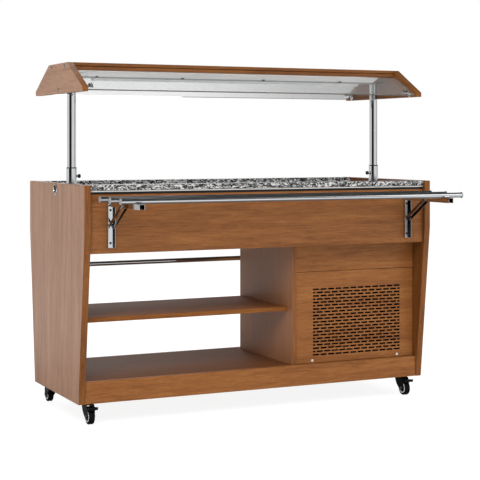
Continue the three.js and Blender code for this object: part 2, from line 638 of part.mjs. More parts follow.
// ---------------------------------------------------------------- top
function topFrame() {
  const reach = INNER_X - CLEARANCE;
  const trimFace = LEDGE_OUTER - 1;
  const neckFace = LEDGE_OUTER - SHADOW_DEPTH;
  const trim = block(-reach, reach, -trimFace, trimFace, LEDGE_BOTTOM - TRIM_HEIGHT, LEDGE_BOTTOM);
  const neck = block(-reach, reach, -neckFace, neckFace, APRON_TOP,
    LEDGE_BOTTOM - TRIM_HEIGHT + 1);
  const low = APRON_TOP - 1;
  const hole = block(-WELL_OUTER_X - 1, WELL_OUTER_X + 1, -WELL_OUTER_Y - 1, WELL_OUTER_Y + 1,
    low, LEDGE_BOTTOM + 1);
  return cut(join(trim, neck), hole, ...guideHoles(low, LEDGE_BOTTOM + 1));
}

function guideHoles(low, high) {
  return [-POST_X, POST_X].map((x) => barZ(GUIDE_RADIUS + CLEARANCE, low, high, GUIDE_SIDES, x));
}

// A granite ledge with its front upper edge rounded.
function ledge() {
  const low = LEDGE_BOTTOM + CLEARANCE;
  const outline = new THREE.Shape();
  outline.moveTo(-LEDGE_OUTER + 1, low);
  outline.lineTo(-LEDGE_INNER, low);
  outline.lineTo(-LEDGE_INNER, CABINET_TOP - 1);
  outline.lineTo(-LEDGE_INNER - 1, CABINET_TOP);
  outline.lineTo(-LEDGE_OUTER + LEDGE_ROUND, CABINET_TOP);
  outline.absarc(-LEDGE_OUTER + LEDGE_ROUND, CABINET_TOP - LEDGE_ROUND, LEDGE_ROUND,
    Math.PI / 2, Math.PI, false);
  outline.lineTo(-LEDGE_OUTER, low + 1);
  const length = 2 * (INNER_X - CLEARANCE);
  return alongX(extruded(outline, length, 4), length);
}

// The steel tub with its flange, its drain and the bars that carry the pans.
function coldWell() {
  const reach = INNER_X - CLEARANCE;
  const flangeLow = LEDGE_BOTTOM + CLEARANCE;
  const flangeTop = flangeLow + DECK_SHEET;
  const halfY = LEDGE_INNER - CLEARANCE;
  const flange = block(-reach, reach, -halfY, halfY, flangeLow, flangeTop);
  const above = flangeTop + 2 * WELL_EDGE;
  const tub = board(-WELL_OUTER_X, WELL_OUTER_X, -WELL_OUTER_Y, WELL_OUTER_Y,
    WELL_FLOOR - WELL_WALL, above, WELL_EDGE);
  const spare = block(-reach, reach, -halfY, halfY, flangeTop, above + 1);
  const hollow = board(-WELL_LENGTH / 2, WELL_LENGTH / 2, -WELL_WIDTH / 2, WELL_WIDTH / 2,
    WELL_FLOOR, above + WELL_EDGE, WELL_EDGE);
  const drain = barZ(DRAIN_RADIUS, WELL_FLOOR - WELL_WALL - 1, WELL_FLOOR + 1, 12,
    WELL_LENGTH / 2 - DRAIN_INSET);
  const shell = cut(join(flange, tub), spare, hollow, drain,
    ...guideHoles(flangeLow - 1, flangeTop + 1));
  const bars = [];
  for (let bar = 0; bar < PAN_BARS; bar += 1) {
    const x = -WELL_LENGTH / 2 + (bar + 1) * WELL_LENGTH / (PAN_BARS + 1);
    bars.push(block(x - PAN_BAR_WIDTH / 2, x + PAN_BAR_WIDTH / 2, -WELL_WIDTH / 2 - 1,
      WELL_WIDTH / 2 + 1, flangeTop - PAN_BAR_DEPTH, flangeTop));
  }
  return join(shell, ...bars);
}

function top() {
  add('top_frame', topFrame(), paleTrim);
  add('granite_ledge_front', ledge(), granite);
  add('granite_ledge_rear', ledge().rotateZ(Math.PI), granite);
  add('cold_well', coldWell(), steel);
}

// ---------------------------------------------------------------- posts and guides
// A guide tube through the top, with its collar above the well's flange and a boss for the knob.
function guide(side) {
  const seat = LEDGE_BOTTOM + 2 * CLEARANCE + DECK_SHEET;
  const bore = POST_RADIUS + CLEARANCE;
  const tube = turned([
    [bore, GUIDE_BOTTOM], [GUIDE_RADIUS, GUIDE_BOTTOM], [GUIDE_RADIUS, seat],
    [GUIDE_FLANGE_RADIUS, seat], [GUIDE_FLANGE_RADIUS - 1, seat + GUIDE_FLANGE],
    [GUIDE_RADIUS, seat + GUIDE_FLANGE], [GUIDE_RADIUS, GUIDE_TOP], [bore, GUIDE_TOP],
    [bore, GUIDE_BOTTOM],
  ], GUIDE_SIDES);
  const inboard = -side * (GUIDE_RADIUS + BOSS_LENGTH / 2 - 0.5);
  const boss = barX(BOSS_RADIUS, BOSS_LENGTH + 1, 10, inboard, 0, KNOB_HEIGHT);
  return join(tube, boss).translate(side * POST_X, 0, 0);
}

function clampKnob(side) {
  const base = GUIDE_RADIUS + BOSS_LENGTH + CLEARANCE;
  const stem = BOSS_RADIUS - 1;
  const profile = [
    [0, 0], [stem, 0], [stem, KNOB_NECK], [KNOB_RADIUS - 2, KNOB_NECK],
    [KNOB_RADIUS, KNOB_NECK + 2], [KNOB_RADIUS, KNOB_LENGTH - 3], [KNOB_RADIUS - 3, KNOB_LENGTH],
    [0, KNOB_LENGTH],
  ];
  const knob = turned(profile, 10).rotateY(-side * Math.PI / 2);
  return knob.translate(side * (POST_X - base), 0, KNOB_HEIGHT);
}

function post(side) {
  const bore = POST_RADIUS - POST_WALL;
  const top = POST_TOP - CLEARANCE;
  const profile = [
    [bore, POST_BOTTOM], [POST_RADIUS, POST_BOTTOM], [POST_RADIUS, top], [0, top],
    [0, top - POST_WALL], [bore, top - POST_WALL], [bore, POST_BOTTOM],
  ];
  return turned(profile, GUIDE_SIDES).translate(side * POST_X, 0, 0);
}

// ---------------------------------------------------------------- canopy
function canopyEnd(side) {
  const outline = polygon([
    [-CANOPY_HALF_DEPTH, CANOPY_BOTTOM], [CANOPY_HALF_DEPTH, CANOPY_BOTTOM],
    [CANOPY_HALF_DEPTH, CANOPY_BOTTOM + NOSE_HEIGHT], [TOP_HALF_DEPTH, CANOPY_TOP],
    [-TOP_HALF_DEPTH, CANOPY_TOP], [-CANOPY_HALF_DEPTH, CANOPY_BOTTOM + NOSE_HEIGHT],
  ]);
  const middle = side * (CANOPY_LENGTH - CANOPY_END) / 2;
  return alongX(eased(outline, CANOPY_END, EDGE), CANOPY_END, middle);
}

// The top board: two lippings with a groove between them along each long edge.
function canopyTop() {
  const low = HOUSING_TOP;
  const grooveTop = CANOPY_TOP - TOP_STRIP;
  const grooveLow = grooveTop - TOP_GROOVE;
  const half = TOP_HALF_DEPTH;
  const right = [
    [half, low + 1], [half, grooveLow], [half - TOP_GROOVE_DEPTH, grooveLow],
    [half - TOP_GROOVE_DEPTH, grooveTop], [half, grooveTop], [half, CANOPY_TOP - 1],
    [half - 1, CANOPY_TOP],
  ];
  const left = right.map(([y, z]) => [-y, z]).reverse();
  const outline = polygon([[half - 1, low], ...right, ...left, [-half + 1, low]]);
  const length = 2 * (CANOPY_INNER - CLEARANCE);
  return alongX(extruded(outline, length), length);
}

// A pane between the canopy's ends, leaning from the top board to the nose.
function pane() {
  const across = new THREE.Vector2(GLASS_TOP[0] - GLASS_LOW[0], GLASS_TOP[1] - GLASS_LOW[1]);
  const length = 2 * (CANOPY_INNER - CLEARANCE);
  const sheet = board(-length / 2, length / 2, -across.length() / 2, across.length() / 2,
    -GLASS / 2, GLASS / 2, 1);
  sheet.rotateX(across.angle());
  return sheet.translate(0, (GLASS_TOP[0] + GLASS_LOW[0]) / 2, (GLASS_TOP[1] + GLASS_LOW[1]) / 2);
}

// A block whose lower face is drawn in on all four sides.
function hipped(halfX, halfY, low, high, slope) {
  const body = block(-halfX, halfX, -halfY, halfY, low, high);
  const corner = body.attributes.position;
  for (let i = 0; i < corner.count; i += 1) {
    if (corner.getZ(i) < (low + high) / 2) {
      corner.setX(i, corner.getX(i) - Math.sign(corner.getX(i)) * slope);
      corner.setY(i, corner.getY(i) - Math.sign(corner.getY(i)) * slope);
    }
  }
  return body;
}

// A sheet housing, open on top where the canopy's board closes it.
function lampHousing() {
  const low = POST_TOP + BEAM_THICKNESS + CLEARANCE;
  const high = HOUSING_TOP - CLEARANCE;
  const halfLength = CANOPY_INNER - HOUSING_INSET;
  const outside = hipped(halfLength, HOUSING_HALF_WIDTH, low, high, HOUSING_SLOPE);
  const inside = hipped(halfLength - HOUSING_WALL, HOUSING_HALF_WIDTH - HOUSING_WALL,
    low + HOUSING_WALL, high + 1, HOUSING_SLOPE);
  return cut(outside, inside);
}

function lampStrip() {
  const high = POST_TOP - CLEARANCE;
  const length = 2 * (CANOPY_INNER - LAMP_INSET);
  const outline = new THREE.Shape();
  outline.moveTo(-LAMP_HALF_WIDTH, high);
  outline.quadraticCurveTo(-LAMP_HALF_WIDTH, high - LAMP_DEPTH, 0, high - LAMP_DEPTH);
  outline.quadraticCurveTo(LAMP_HALF_WIDTH, high - LAMP_DEPTH, LAMP_HALF_WIDTH, high);
  return alongX(extruded(outline, length, 5), length);
}

function canopy() {
  const sides = { left: -1, right: 1 };
  for (const [name, side] of Object.entries(sides)) {
    add(`post_guide_${name}`, guide(side), chrome);
    add(`clamp_knob_${name}`, clampKnob(side), black);
    add(`post_${name}`, post(side), chrome);
    add(`canopy_end_${name}`, canopyEnd(side), wood);
  }
  add('canopy_top', canopyTop(), wood);
  const beamReach = CANOPY_INNER - CLEARANCE;
  add('canopy_beam', block(-beamReach, beamReach, -BEAM_HALF_WIDTH, BEAM_HALF_WIDTH, POST_TOP,
    POST_TOP + BEAM_THICKNESS), zinc);
  add('lamp_housing', lampHousing(), paleGrey);
  add('lamp_strip', lampStrip(), lampWhite);
  add('glass_front', pane(), clear);
  add('glass_rear', pane().rotateZ(Math.PI), clear);
}

// ---------------------------------------------------------------- folding tray slides
// All pieces are drawn for the front slide, raised, and turned about Z for the rear one.

// The wall channel: back on the apron, flanges forward, with the arm's pivot pin across it and a
// short stub inside each flange for the brace.
function channel(x) {
  const half = CHANNEL_WIDTH / 2;
  const back = -APRON_FACE - CLEARANCE;
  const front = -CHANNEL_FRONT;
  const outline = polygon([
    [x - half, back], [x - half, front], [x - half + STEEL, front], [x - half + STEEL, back - STEEL],
    [x + half - STEEL, back - STEEL], [x + half - STEEL, front], [x + half, front], [x + half, back],
  ].reverse());
  const section = extruded(outline, CHANNEL_TOP - CHANNEL_BOTTOM).translate(0, 0, CHANNEL_BOTTOM);
  const pin = barX(PIN_RADIUS, CHANNEL_WIDTH + 2 * PIN_HEAD, 8, x, -SLIDE_PIVOT_Y, SLIDE_PIVOT_Z);
  const stubInner = BRACE_WIDTH / 2 - BRACE_WALL;
  const stubLength = half + PIN_HEAD - stubInner;
  const stubs = [-1, 1].map((side) => barX(PIN_RADIUS, stubLength, 8,
    x + side * (stubInner + stubLength / 2), -SLIDE_PIVOT_Y, BRACE_PIVOT_Z));
  return join(section, pin, ...stubs);
}

// The brace: a channel that straddles the arm, closed on the side that turns to the wall.
function brace(x) {
  const length = Math.hypot(BRACE_REACH, BRACE_DROP);
  const strip = new THREE.Shape();
  strip.absarc(0, 0, BRACE_BACK, Math.PI / 2, 3 * Math.PI / 2, false);
  strip.lineTo(length - 3 * BRACE_TAPER, -BRACE_BACK);
  strip.lineTo(length - 2 * BRACE_TAPER, -BRACE_FACE);
  strip.absarc(length, 0, BRACE_FACE, -Math.PI / 2, Math.PI / 2, false);
  strip.lineTo(2 * BRACE_TAPER, BRACE_FACE);
  strip.lineTo(BRACE_TAPER, BRACE_BACK);
  const hole = new THREE.Path();
  hole.absarc(0, 0, PIN_RADIUS + PIN_CLEARANCE, 0, 2 * Math.PI, true);
  strip.holes.push(hole);
  const cheek = extruded(strip, BRACE_WALL, 3);
  const left = cheek.clone().translate(0, 0, -BRACE_WIDTH / 2);
  const right = cheek.translate(0, 0, BRACE_WIDTH / 2 - BRACE_WALL);
  const webHalf = (BRACE_WIDTH - BRACE_WALL) / 2;
  const web = block(0, length - 3.4 * BRACE_TAPER, -BRACE_BACK, -BRACE_BACK + BRACE_WEB,
    -webHalf, webHalf);
  const rivet = new THREE.CylinderGeometry(PIN_RADIUS, PIN_RADIUS, RIVET, 8).rotateX(Math.PI / 2);
  const rivets = [-1, 1].map((side) => rivet.clone().translate(length, 0,
    side * (BRACE_WIDTH / 2 - RIVET / 2 + CLEARANCE)));
  const body = join(left, right, web, ...rivets);
  const lean = Math.atan2(BRACE_DROP, BRACE_REACH);
  const turn = new THREE.Matrix4().makeBasis(
    new THREE.Vector3(0, -Math.cos(lean), Math.sin(lean)),
    new THREE.Vector3(0, Math.sin(lean), Math.cos(lean)), new THREE.Vector3(-1, 0, 0));
  return body.applyMatrix4(turn).translate(x, -SLIDE_PIVOT_Y, BRACE_PIVOT_Z);
}

// One arm: a channel that is open below, with a hole for the pivot pin at its rear end.
function arm(x) {
  const outline = new THREE.Shape();
  outline.moveTo(-SLIDE_PIVOT_Y, SLIDE_PIVOT_Z - ARM_BELOW);
  outline.absarc(-SLIDE_PIVOT_Y, SLIDE_PIVOT_Z, ARM_BELOW, -Math.PI / 2, 0, false);
  outline.lineTo(-SLIDE_PIVOT_Y + ARM_BELOW, SLIDE_PIVOT_Z + ARM_ABOVE - ARM_ROUND);
  outline.lineTo(-SLIDE_PIVOT_Y + ARM_BELOW - ARM_ROUND, SLIDE_PIVOT_Z + ARM_ABOVE);
  outline.lineTo(-ARM_TIP, SLIDE_PIVOT_Z + ARM_ABOVE);
  outline.lineTo(-ARM_TIP, SLIDE_PIVOT_Z - ARM_BELOW);
  const solid = alongX(extruded(outline, ARM_WIDTH, 2), ARM_WIDTH, x);
  const inside = ARM_WIDTH / 2 - STEEL;
  const hollow = block(x - inside, x + inside, -ARM_TIP - 1, -SLIDE_PIVOT_Y + 20,
    SLIDE_PIVOT_Z - ARM_BELOW - 1, SLIDE_PIVOT_Z + ARM_ABOVE - STEEL);
  const hole = barX(PIN_RADIUS + PIN_CLEARANCE, ARM_WIDTH + 2, 8, x, -SLIDE_PIVOT_Y, SLIDE_PIVOT_Z);
  return cut(solid, hollow, hole);
}

function rail(y) {
  const half = RAIL_LENGTH / 2;
  const profile = [
    [0, -half], [RAIL_CAP_RADIUS, -half], [RAIL_CAP_RADIUS, -half + RAIL_CAP],
    [RAIL_RADIUS, -half + RAIL_CAP], [RAIL_RADIUS, half - RAIL_CAP],
    [RAIL_CAP_RADIUS, half - RAIL_CAP], [RAIL_CAP_RADIUS, half], [0, half],
  ];
  return turned(profile, 12).rotateY(Math.PI / 2).translate(0, -y, SLIDE_PIVOT_Z + RAIL_ABOVE);
}

// Two arms with the three rails welded on top.
function trayFrame() {
  const rails = [];
  for (let i = 0; i < RAILS; i += 1) {
    rails.push(rail(SLIDE_PIVOT_Y + RAIL_START + i * RAIL_PITCH));
  }
  return join(arm(-BRACKET_X), arm(BRACKET_X), ...rails);
}

// Turns a geometry about a line along X through y and z.
function foldAbout(geometry, y, z, angle) {
  return geometry.translate(0, -y, -z).rotateX(angle).translate(0, y, z);
}

const FOLD = Math.PI / 2;
const BRACE_FOLD = FOLD + Math.atan2(BRACE_DROP, BRACE_REACH);

function traySlide(end, folded) {
  const turn = end === 'front' ? 0 : Math.PI;
  const armAngle = folded ? FOLD : 0;
  const braceAngle = folded ? BRACE_FOLD : 0;
  const sides = end === 'front' ? { left: -1, right: 1 } : { left: 1, right: -1 };
  for (const [name, side] of Object.entries(sides)) {
    add(`slide_channel_${end}_${name}`, channel(side * BRACKET_X).rotateZ(turn), chrome);
    const strut = foldAbout(brace(side * BRACKET_X), -SLIDE_PIVOT_Y, BRACE_PIVOT_Z, braceAngle);
    add(`slide_brace_${end}_${name}`, strut.rotateZ(turn), chrome);
  }
  const frame = foldAbout(trayFrame(), -SLIDE_PIVOT_Y, SLIDE_PIVOT_Z, armAngle);
  add(`tray_frame_${end}`, frame.rotateZ(turn), chrome);
}

// ---------------------------------------------------------------- casters
// Drawn with the swivel axis at the origin and the wheel trailing towards +Y.
function fork() {
  const high = UNDERSIDE - CASTER_PLATE - CLEARANCE;
  const foot = CROWN_RADIUS - CROWN_TAPER;
  const crown = turned([
    [0, high - CROWN_HEIGHT], [foot, high - CROWN_HEIGHT],
    [CROWN_RADIUS, high - CROWN_HEIGHT / 2], [CROWN_RADIUS, high], [0, high],
  ], 14);
  const shoulder = high - CHEEK_SHOULDER;
  const turn = -0.8 * Math.PI;     // where the leading edge meets the round end
  const cheek = new THREE.Shape();
  cheek.moveTo(-foot, high - CHEEK_SINK);
  cheek.lineTo(-foot, shoulder);
  cheek.quadraticCurveTo(CHEEK_FLARE - CHEEK_BOSS, WHEEL_RADIUS + CHEEK_FLARE,
    TRAIL + CHEEK_BOSS * Math.cos(turn), WHEEL_RADIUS + CHEEK_BOSS * Math.sin(turn));
  cheek.absarc(TRAIL, WHEEL_RADIUS, CHEEK_BOSS, turn, 0, false);
  cheek.quadraticCurveTo(TRAIL + CHEEK_BOSS + CHEEK_FLARE, shoulder,
    TRAIL + CHEEK_FLARE, high - CROWN_HEIGHT / 2);
  cheek.lineTo(foot - CROWN_TAPER, high - CHEEK_SINK);
  const side = (FORK_GAP + FORK_WALL) / 2;
  const cheeks = [-side, side].map((x) => alongX(extruded(cheek, FORK_WALL, 3), FORK_WALL, x));
  const axleLength = FORK_GAP + 2 * (FORK_WALL + AXLE_HEAD);
  const axle = barX(AXLE_RADIUS, axleLength, 8, 0, TRAIL, WHEEL_RADIUS);
  return join(crown, ...cheeks, axle);
}

function wheel() {
  const half = WHEEL_WIDTH / 2;
  const tyre = WHEEL_RADIUS - TREAD;
  const bore = AXLE_RADIUS + AXLE_PLAY;
  const web = WHEEL_HUB + HUB_STEP;
  const side = [
    [bore, half], [WHEEL_HUB, half], [web, half - HUB_STEP], [tyre, half - TREAD_EASE],
    [WHEEL_RADIUS, half - 2 * TREAD_EASE],
  ];
  const mirrored = side.map(([radius, x]) => [radius, -x]);
  const profile = [...mirrored, ...side.toReversed(), mirrored[0]];
  return turned(profile, 16).rotateY(Math.PI / 2).translate(0, TRAIL, WHEEL_RADIUS);
}

// The brake pedal: a neck between the fork's cheeks, over the wheel, and a pad in front of them.
function brakePedal() {
  const neckHalf = FORK_GAP / 2 - CLEARANCE;
  const padStart = TRAIL + PEDAL_LEAD;
  const low = 2 * WHEEL_RADIUS + PEDAL_GAP;
  const neck = block(-neckHalf, neckHalf, PEDAL_HINGE - PEDAL_LAP, padStart + PEDAL_LAP,
    low, low + PEDAL_NECK);
  const outline = polygon([
    [padStart, low], [PEDAL_REACH - 0.8 * PEDAL_LIP, low - PEDAL_THICK],
    [PEDAL_REACH - 0.3 * PEDAL_LIP, low - 0.8 * PEDAL_THICK],
    [PEDAL_REACH, low + 0.6 * PEDAL_LIP], [PEDAL_REACH - 0.4 * PEDAL_LIP, low + 0.7 * PEDAL_LIP],
    [PEDAL_REACH - PEDAL_LIP, low], [padStart, low + PEDAL_THICK],
  ]);
  return join(neck, alongX(extruded(outline, PEDAL_WIDTH), PEDAL_WIDTH));
}

function casters() {
  for (const [name, { x, y, trail }] of Object.entries(CASTERS)) {
    const swivel = new THREE.Group();
    swivel.position.set(x, y, 0);
    swivel.rotation.z = trail < 0 ? Math.PI : 0;
    model.add(swivel);
    add(`caster_fork_${name}`, fork(), black, swivel);
    add(`caster_wheel_${name}`, wheel(), rubber, swivel);
    add(`brake_pedal_${name}`, brakePedal(), black, swivel);
  }
}

// ---------------------------------------------------------------- assembly
cabinet();
machinery();
top();
canopy();
traySlide('front', false);
traySlide('rear', true);
casters();

// The origin is on the floor in the middle of the object's box, with the front slide raised.
const box = new THREE.Box3().setFromObject(model);
model.position.y = -(box.min.y + box.max.y) / 2;

export default model;
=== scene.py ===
import math

import bmesh
import bpy
from mathutils import Matrix, Vector


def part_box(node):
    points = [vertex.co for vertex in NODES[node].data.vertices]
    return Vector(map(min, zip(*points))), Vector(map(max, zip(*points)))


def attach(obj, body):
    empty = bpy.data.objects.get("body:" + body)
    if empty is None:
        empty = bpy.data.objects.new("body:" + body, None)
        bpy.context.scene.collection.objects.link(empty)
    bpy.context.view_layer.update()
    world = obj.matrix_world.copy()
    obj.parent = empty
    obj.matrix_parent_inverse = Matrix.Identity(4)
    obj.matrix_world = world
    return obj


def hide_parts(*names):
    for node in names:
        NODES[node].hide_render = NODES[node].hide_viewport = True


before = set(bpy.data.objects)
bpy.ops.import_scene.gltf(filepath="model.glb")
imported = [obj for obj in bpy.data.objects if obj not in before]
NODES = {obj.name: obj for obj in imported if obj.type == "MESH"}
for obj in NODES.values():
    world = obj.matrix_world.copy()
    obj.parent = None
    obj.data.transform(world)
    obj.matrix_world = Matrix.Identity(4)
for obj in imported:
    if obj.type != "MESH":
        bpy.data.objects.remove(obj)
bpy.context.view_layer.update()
SIDES = {"left": -1, "right": 1}
ENDS = {"front": -1, "rear": 1}
CORNERS = [f"{end}_{side}" for end in ENDS for side in SIDES]
WHITE = (1, 1, 1, 1)
CURVE_STEP = 15  # degrees between the points of a strap's round end
EDGE_ANGLE = math.radians(40)  # edges sharper than this are eased


def centre_of(node):
    """The middle of a CAD node's box."""
    low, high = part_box(node)
    return (low + high) / 2


MIDDLE_Y = centre_of("cold_well").y  # the cabinet's middle plane


# ---- camera, light and floor
def linked(name, data):
    """A new object in the scene."""
    made = bpy.data.objects.new(name, data)
    bpy.context.scene.collection.objects.link(made)
    return made


def make_camera():
    data = bpy.data.cameras.new("camera")
    data.lens = 101.0
    data.sensor_width = 36.0
    data.shift_y = -0.2019
    data.clip_end = 100
    camera = linked("camera", data)
    camera.location = (-2.3506, -4.8944, 1.0529)
    camera.rotation_euler = (math.radians(90), 0, math.radians(-25.44))
    bpy.context.scene.camera = camera


def softbox(name, place, aim, size, power):
    """A square area lamp at place, turned towards aim."""
    data = bpy.data.lights.new(name, "AREA")
    data.shape = "SQUARE"
    data.size = size
    data.energy = power
    lamp = linked(name, data)
    lamp.location = place
    lamp.rotation_euler = (Vector(aim) - Vector(place)).to_track_quat("-Z", "Y").to_euler()
    lamp.visible_camera = False


def feed(tree, socket, value):
    """Links an output to a socket, or sets the socket's own value."""
    if isinstance(value, bpy.types.NodeSocket):
        tree.links.new(value, socket)
    else:
        socket.default_value = value


def operated(tree, kind, operation, *values):
    """A node of a kind, Math or VectorMath, that works on these values in turn."""
    made = tree.nodes.new("ShaderNode" + kind)
    made.operation = operation
    for socket, value in zip(made.inputs, values):
        feed(tree, socket, value)
    return made


def ray_kind(tree, *kinds):
    """1 for rays of these kinds."""
    path = tree.nodes.new("ShaderNodeLightPath")
    value = path.outputs[kinds[0]]
    for kind in kinds[1:]:
        value = operated(tree, "Math", "MAXIMUM", value, path.outputs[kind]).outputs[0]
    return value


def blended(tree, value, low, high, start=0.0, end=1.0, easing="LINEAR"):
    """low where value is at start, high where it is at end."""
    made = tree.nodes.new("ShaderNodeMapRange")
    made.interpolation_type = easing
    for key, given in (("Value", value), ("From Min", start), ("From Max", end),
                       ("To Min", low), ("To Max", high)):
        feed(tree, made.inputs[key], given)
    return made.outputs["Result"]


def zone(tree, direction, towards, inner, outer):
    """1 within the inner angle of a direction, 0 beyond the outer one."""
    dot = operated(tree, "VectorMath", "DOT_PRODUCT", direction, towards).outputs["Value"]
    return blended(tree, dot, 0.0, 1.0, math.cos(math.radians(outer)),
                   math.cos(math.radians(inner)), "SMOOTHSTEP")


def bearing(azimuth, elevation):
    """The direction at an azimuth in degrees from +X towards +Y, and degrees above the horizon."""
    azimuth, elevation = math.radians(azimuth), math.radians(elevation)
    return (math.cos(azimuth) * math.cos(elevation), math.sin(azimuth) * math.cos(elevation),
            math.sin(elevation))


def make_world():
    """A white studio. What metal mirrors of it is white at the floor and the horizon, between grey
    and dark flags and under a dark ceiling, as round a real product shot."""
    ambient = 0.55
    ceiling = 0.08
    ceiling_inner, ceiling_outer = 76, 85  # degrees from straight up
    # Each flag's azimuth, elevation, inner and outer angle in degrees, and its level.
    flags = ((-138, 0, 26, 38, 0.02), (-14, 0, 5, 16, 0.35), (48, 0, 8, 20, 0.3),
             (120, 0, 4, 16, 0.5), (-57, -7, 3, 7, 0.15))
    world = bpy.data.worlds.new("studio")
    bpy.context.scene.world = world
    world.use_nodes = True
    tree = world.node_tree
    background = tree.nodes["Background"]
    background.inputs["Color"].default_value = WHITE
    direction = tree.nodes.new("ShaderNodeTexCoord").outputs["Generated"]
    walls = 1.0
    for azimuth, elevation, inner, outer, level in flags:
        towards = bearing(azimuth, elevation)
        walls = blended(tree, zone(tree, direction, towards, inner, outer), walls, level)
    overhead = zone(tree, direction, (0, 0, 1), ceiling_inner, ceiling_outer)
    mirrored = blended(tree, overhead, walls, ceiling)
    level = blended(tree, ray_kind(tree, "Is Camera Ray", "Is Transmission Ray"), ambient, 1.0)
    level = blended(tree, ray_kind(tree, "Is Glossy Ray"), level, mirrored)
    tree.links.new(level, background.inputs["Strength"])


def make_floor():
    """A pale floor that reads as the white background and keeps the object's shadow. Metal sees it
    dark close under the object, where a painted shade darkens the floor's glow for glossy rays."""
    lit_colour, seen_colour = 0.8, 0.25  # the rest of the white that rays see is glow
    lit_glow, seen_glow, painted_shade_glow = 0.2, 0.89, 0.02
    dark_reach, light_reach = 1.0, 1.9  # from the object's middle, across its length
    patch_stretch = 1.5  # how much further the dark patch reaches along it
    bpy.ops.mesh.primitive_plane_add(size=16, location=(0, 0, -0.0005))
    floor = bpy.context.object
    floor.name = "floor"
    material = bpy.data.materials.new("floor")
    material.use_nodes = True
    tree = material.node_tree
    shader = tree.nodes["Principled BSDF"]
    shader.inputs["Roughness"].default_value = 0.9
    shader.inputs["Specular IOR Level"].default_value = 0.0
    shader.inputs["Emission Color"].default_value = WHITE
    seen = ray_kind(tree, "Is Camera Ray", "Is Glossy Ray", "Is Transmission Ray")
    tree.links.new(blended(tree, seen, lit_colour, seen_colour), shader.inputs["Base Color"])
    place = tree.nodes.new("ShaderNodeMapping")
    place.inputs["Scale"].default_value = (1 / patch_stretch, 1.0, 1.0)
    tree.links.new(tree.nodes.new("ShaderNodeTexCoord").outputs["Object"], place.inputs["Vector"])
    away = operated(tree, "VectorMath", "LENGTH", place.outputs[0]).outputs["Value"]
    # painted shade: the glow that glossy rays see is dark close under the object
    mirrored = blended(tree, away, painted_shade_glow, seen_glow, dark_reach, light_reach, "SMOOTHSTEP")
    glow = blended(tree, ray_kind(tree, "Is Camera Ray", "Is Transmission Ray"), lit_glow, seen_glow)
    glow = blended(tree, ray_kind(tree, "Is Glossy Ray"), glow, mirrored)
    tree.links.new(glow, shader.inputs["Emission Strength"])
    floor.data.materials.append(material)


make_camera()
make_world()
make_floor()
TARGET = (0, 0, 0.7)
SOFTBOX_SIZE = 3.0
softbox("key", (-3.2, -4.2, 4.4), TARGET, SOFTBOX_SIZE, 200)
softbox("fill", (4.2, -3.6, 4.2), TARGET, SOFTBOX_SIZE, 75)
softbox("back", (0.5, 5.0, 3.4), TARGET, SOFTBOX_SIZE, 90)
bpy.context.scene.view_settings.view_transform = "Standard"


# ---- materials
def rgb(red, green, blue):
    """A colour given as it shows on screen, 0 to 255, as the shader's linear values."""
    def linear(value):
        value /= 255
        return value / 12.92 if value <= 0.04045 else ((value + 0.055) / 1.055) ** 2.4
    return (linear(red), linear(green), linear(blue), 1.0)


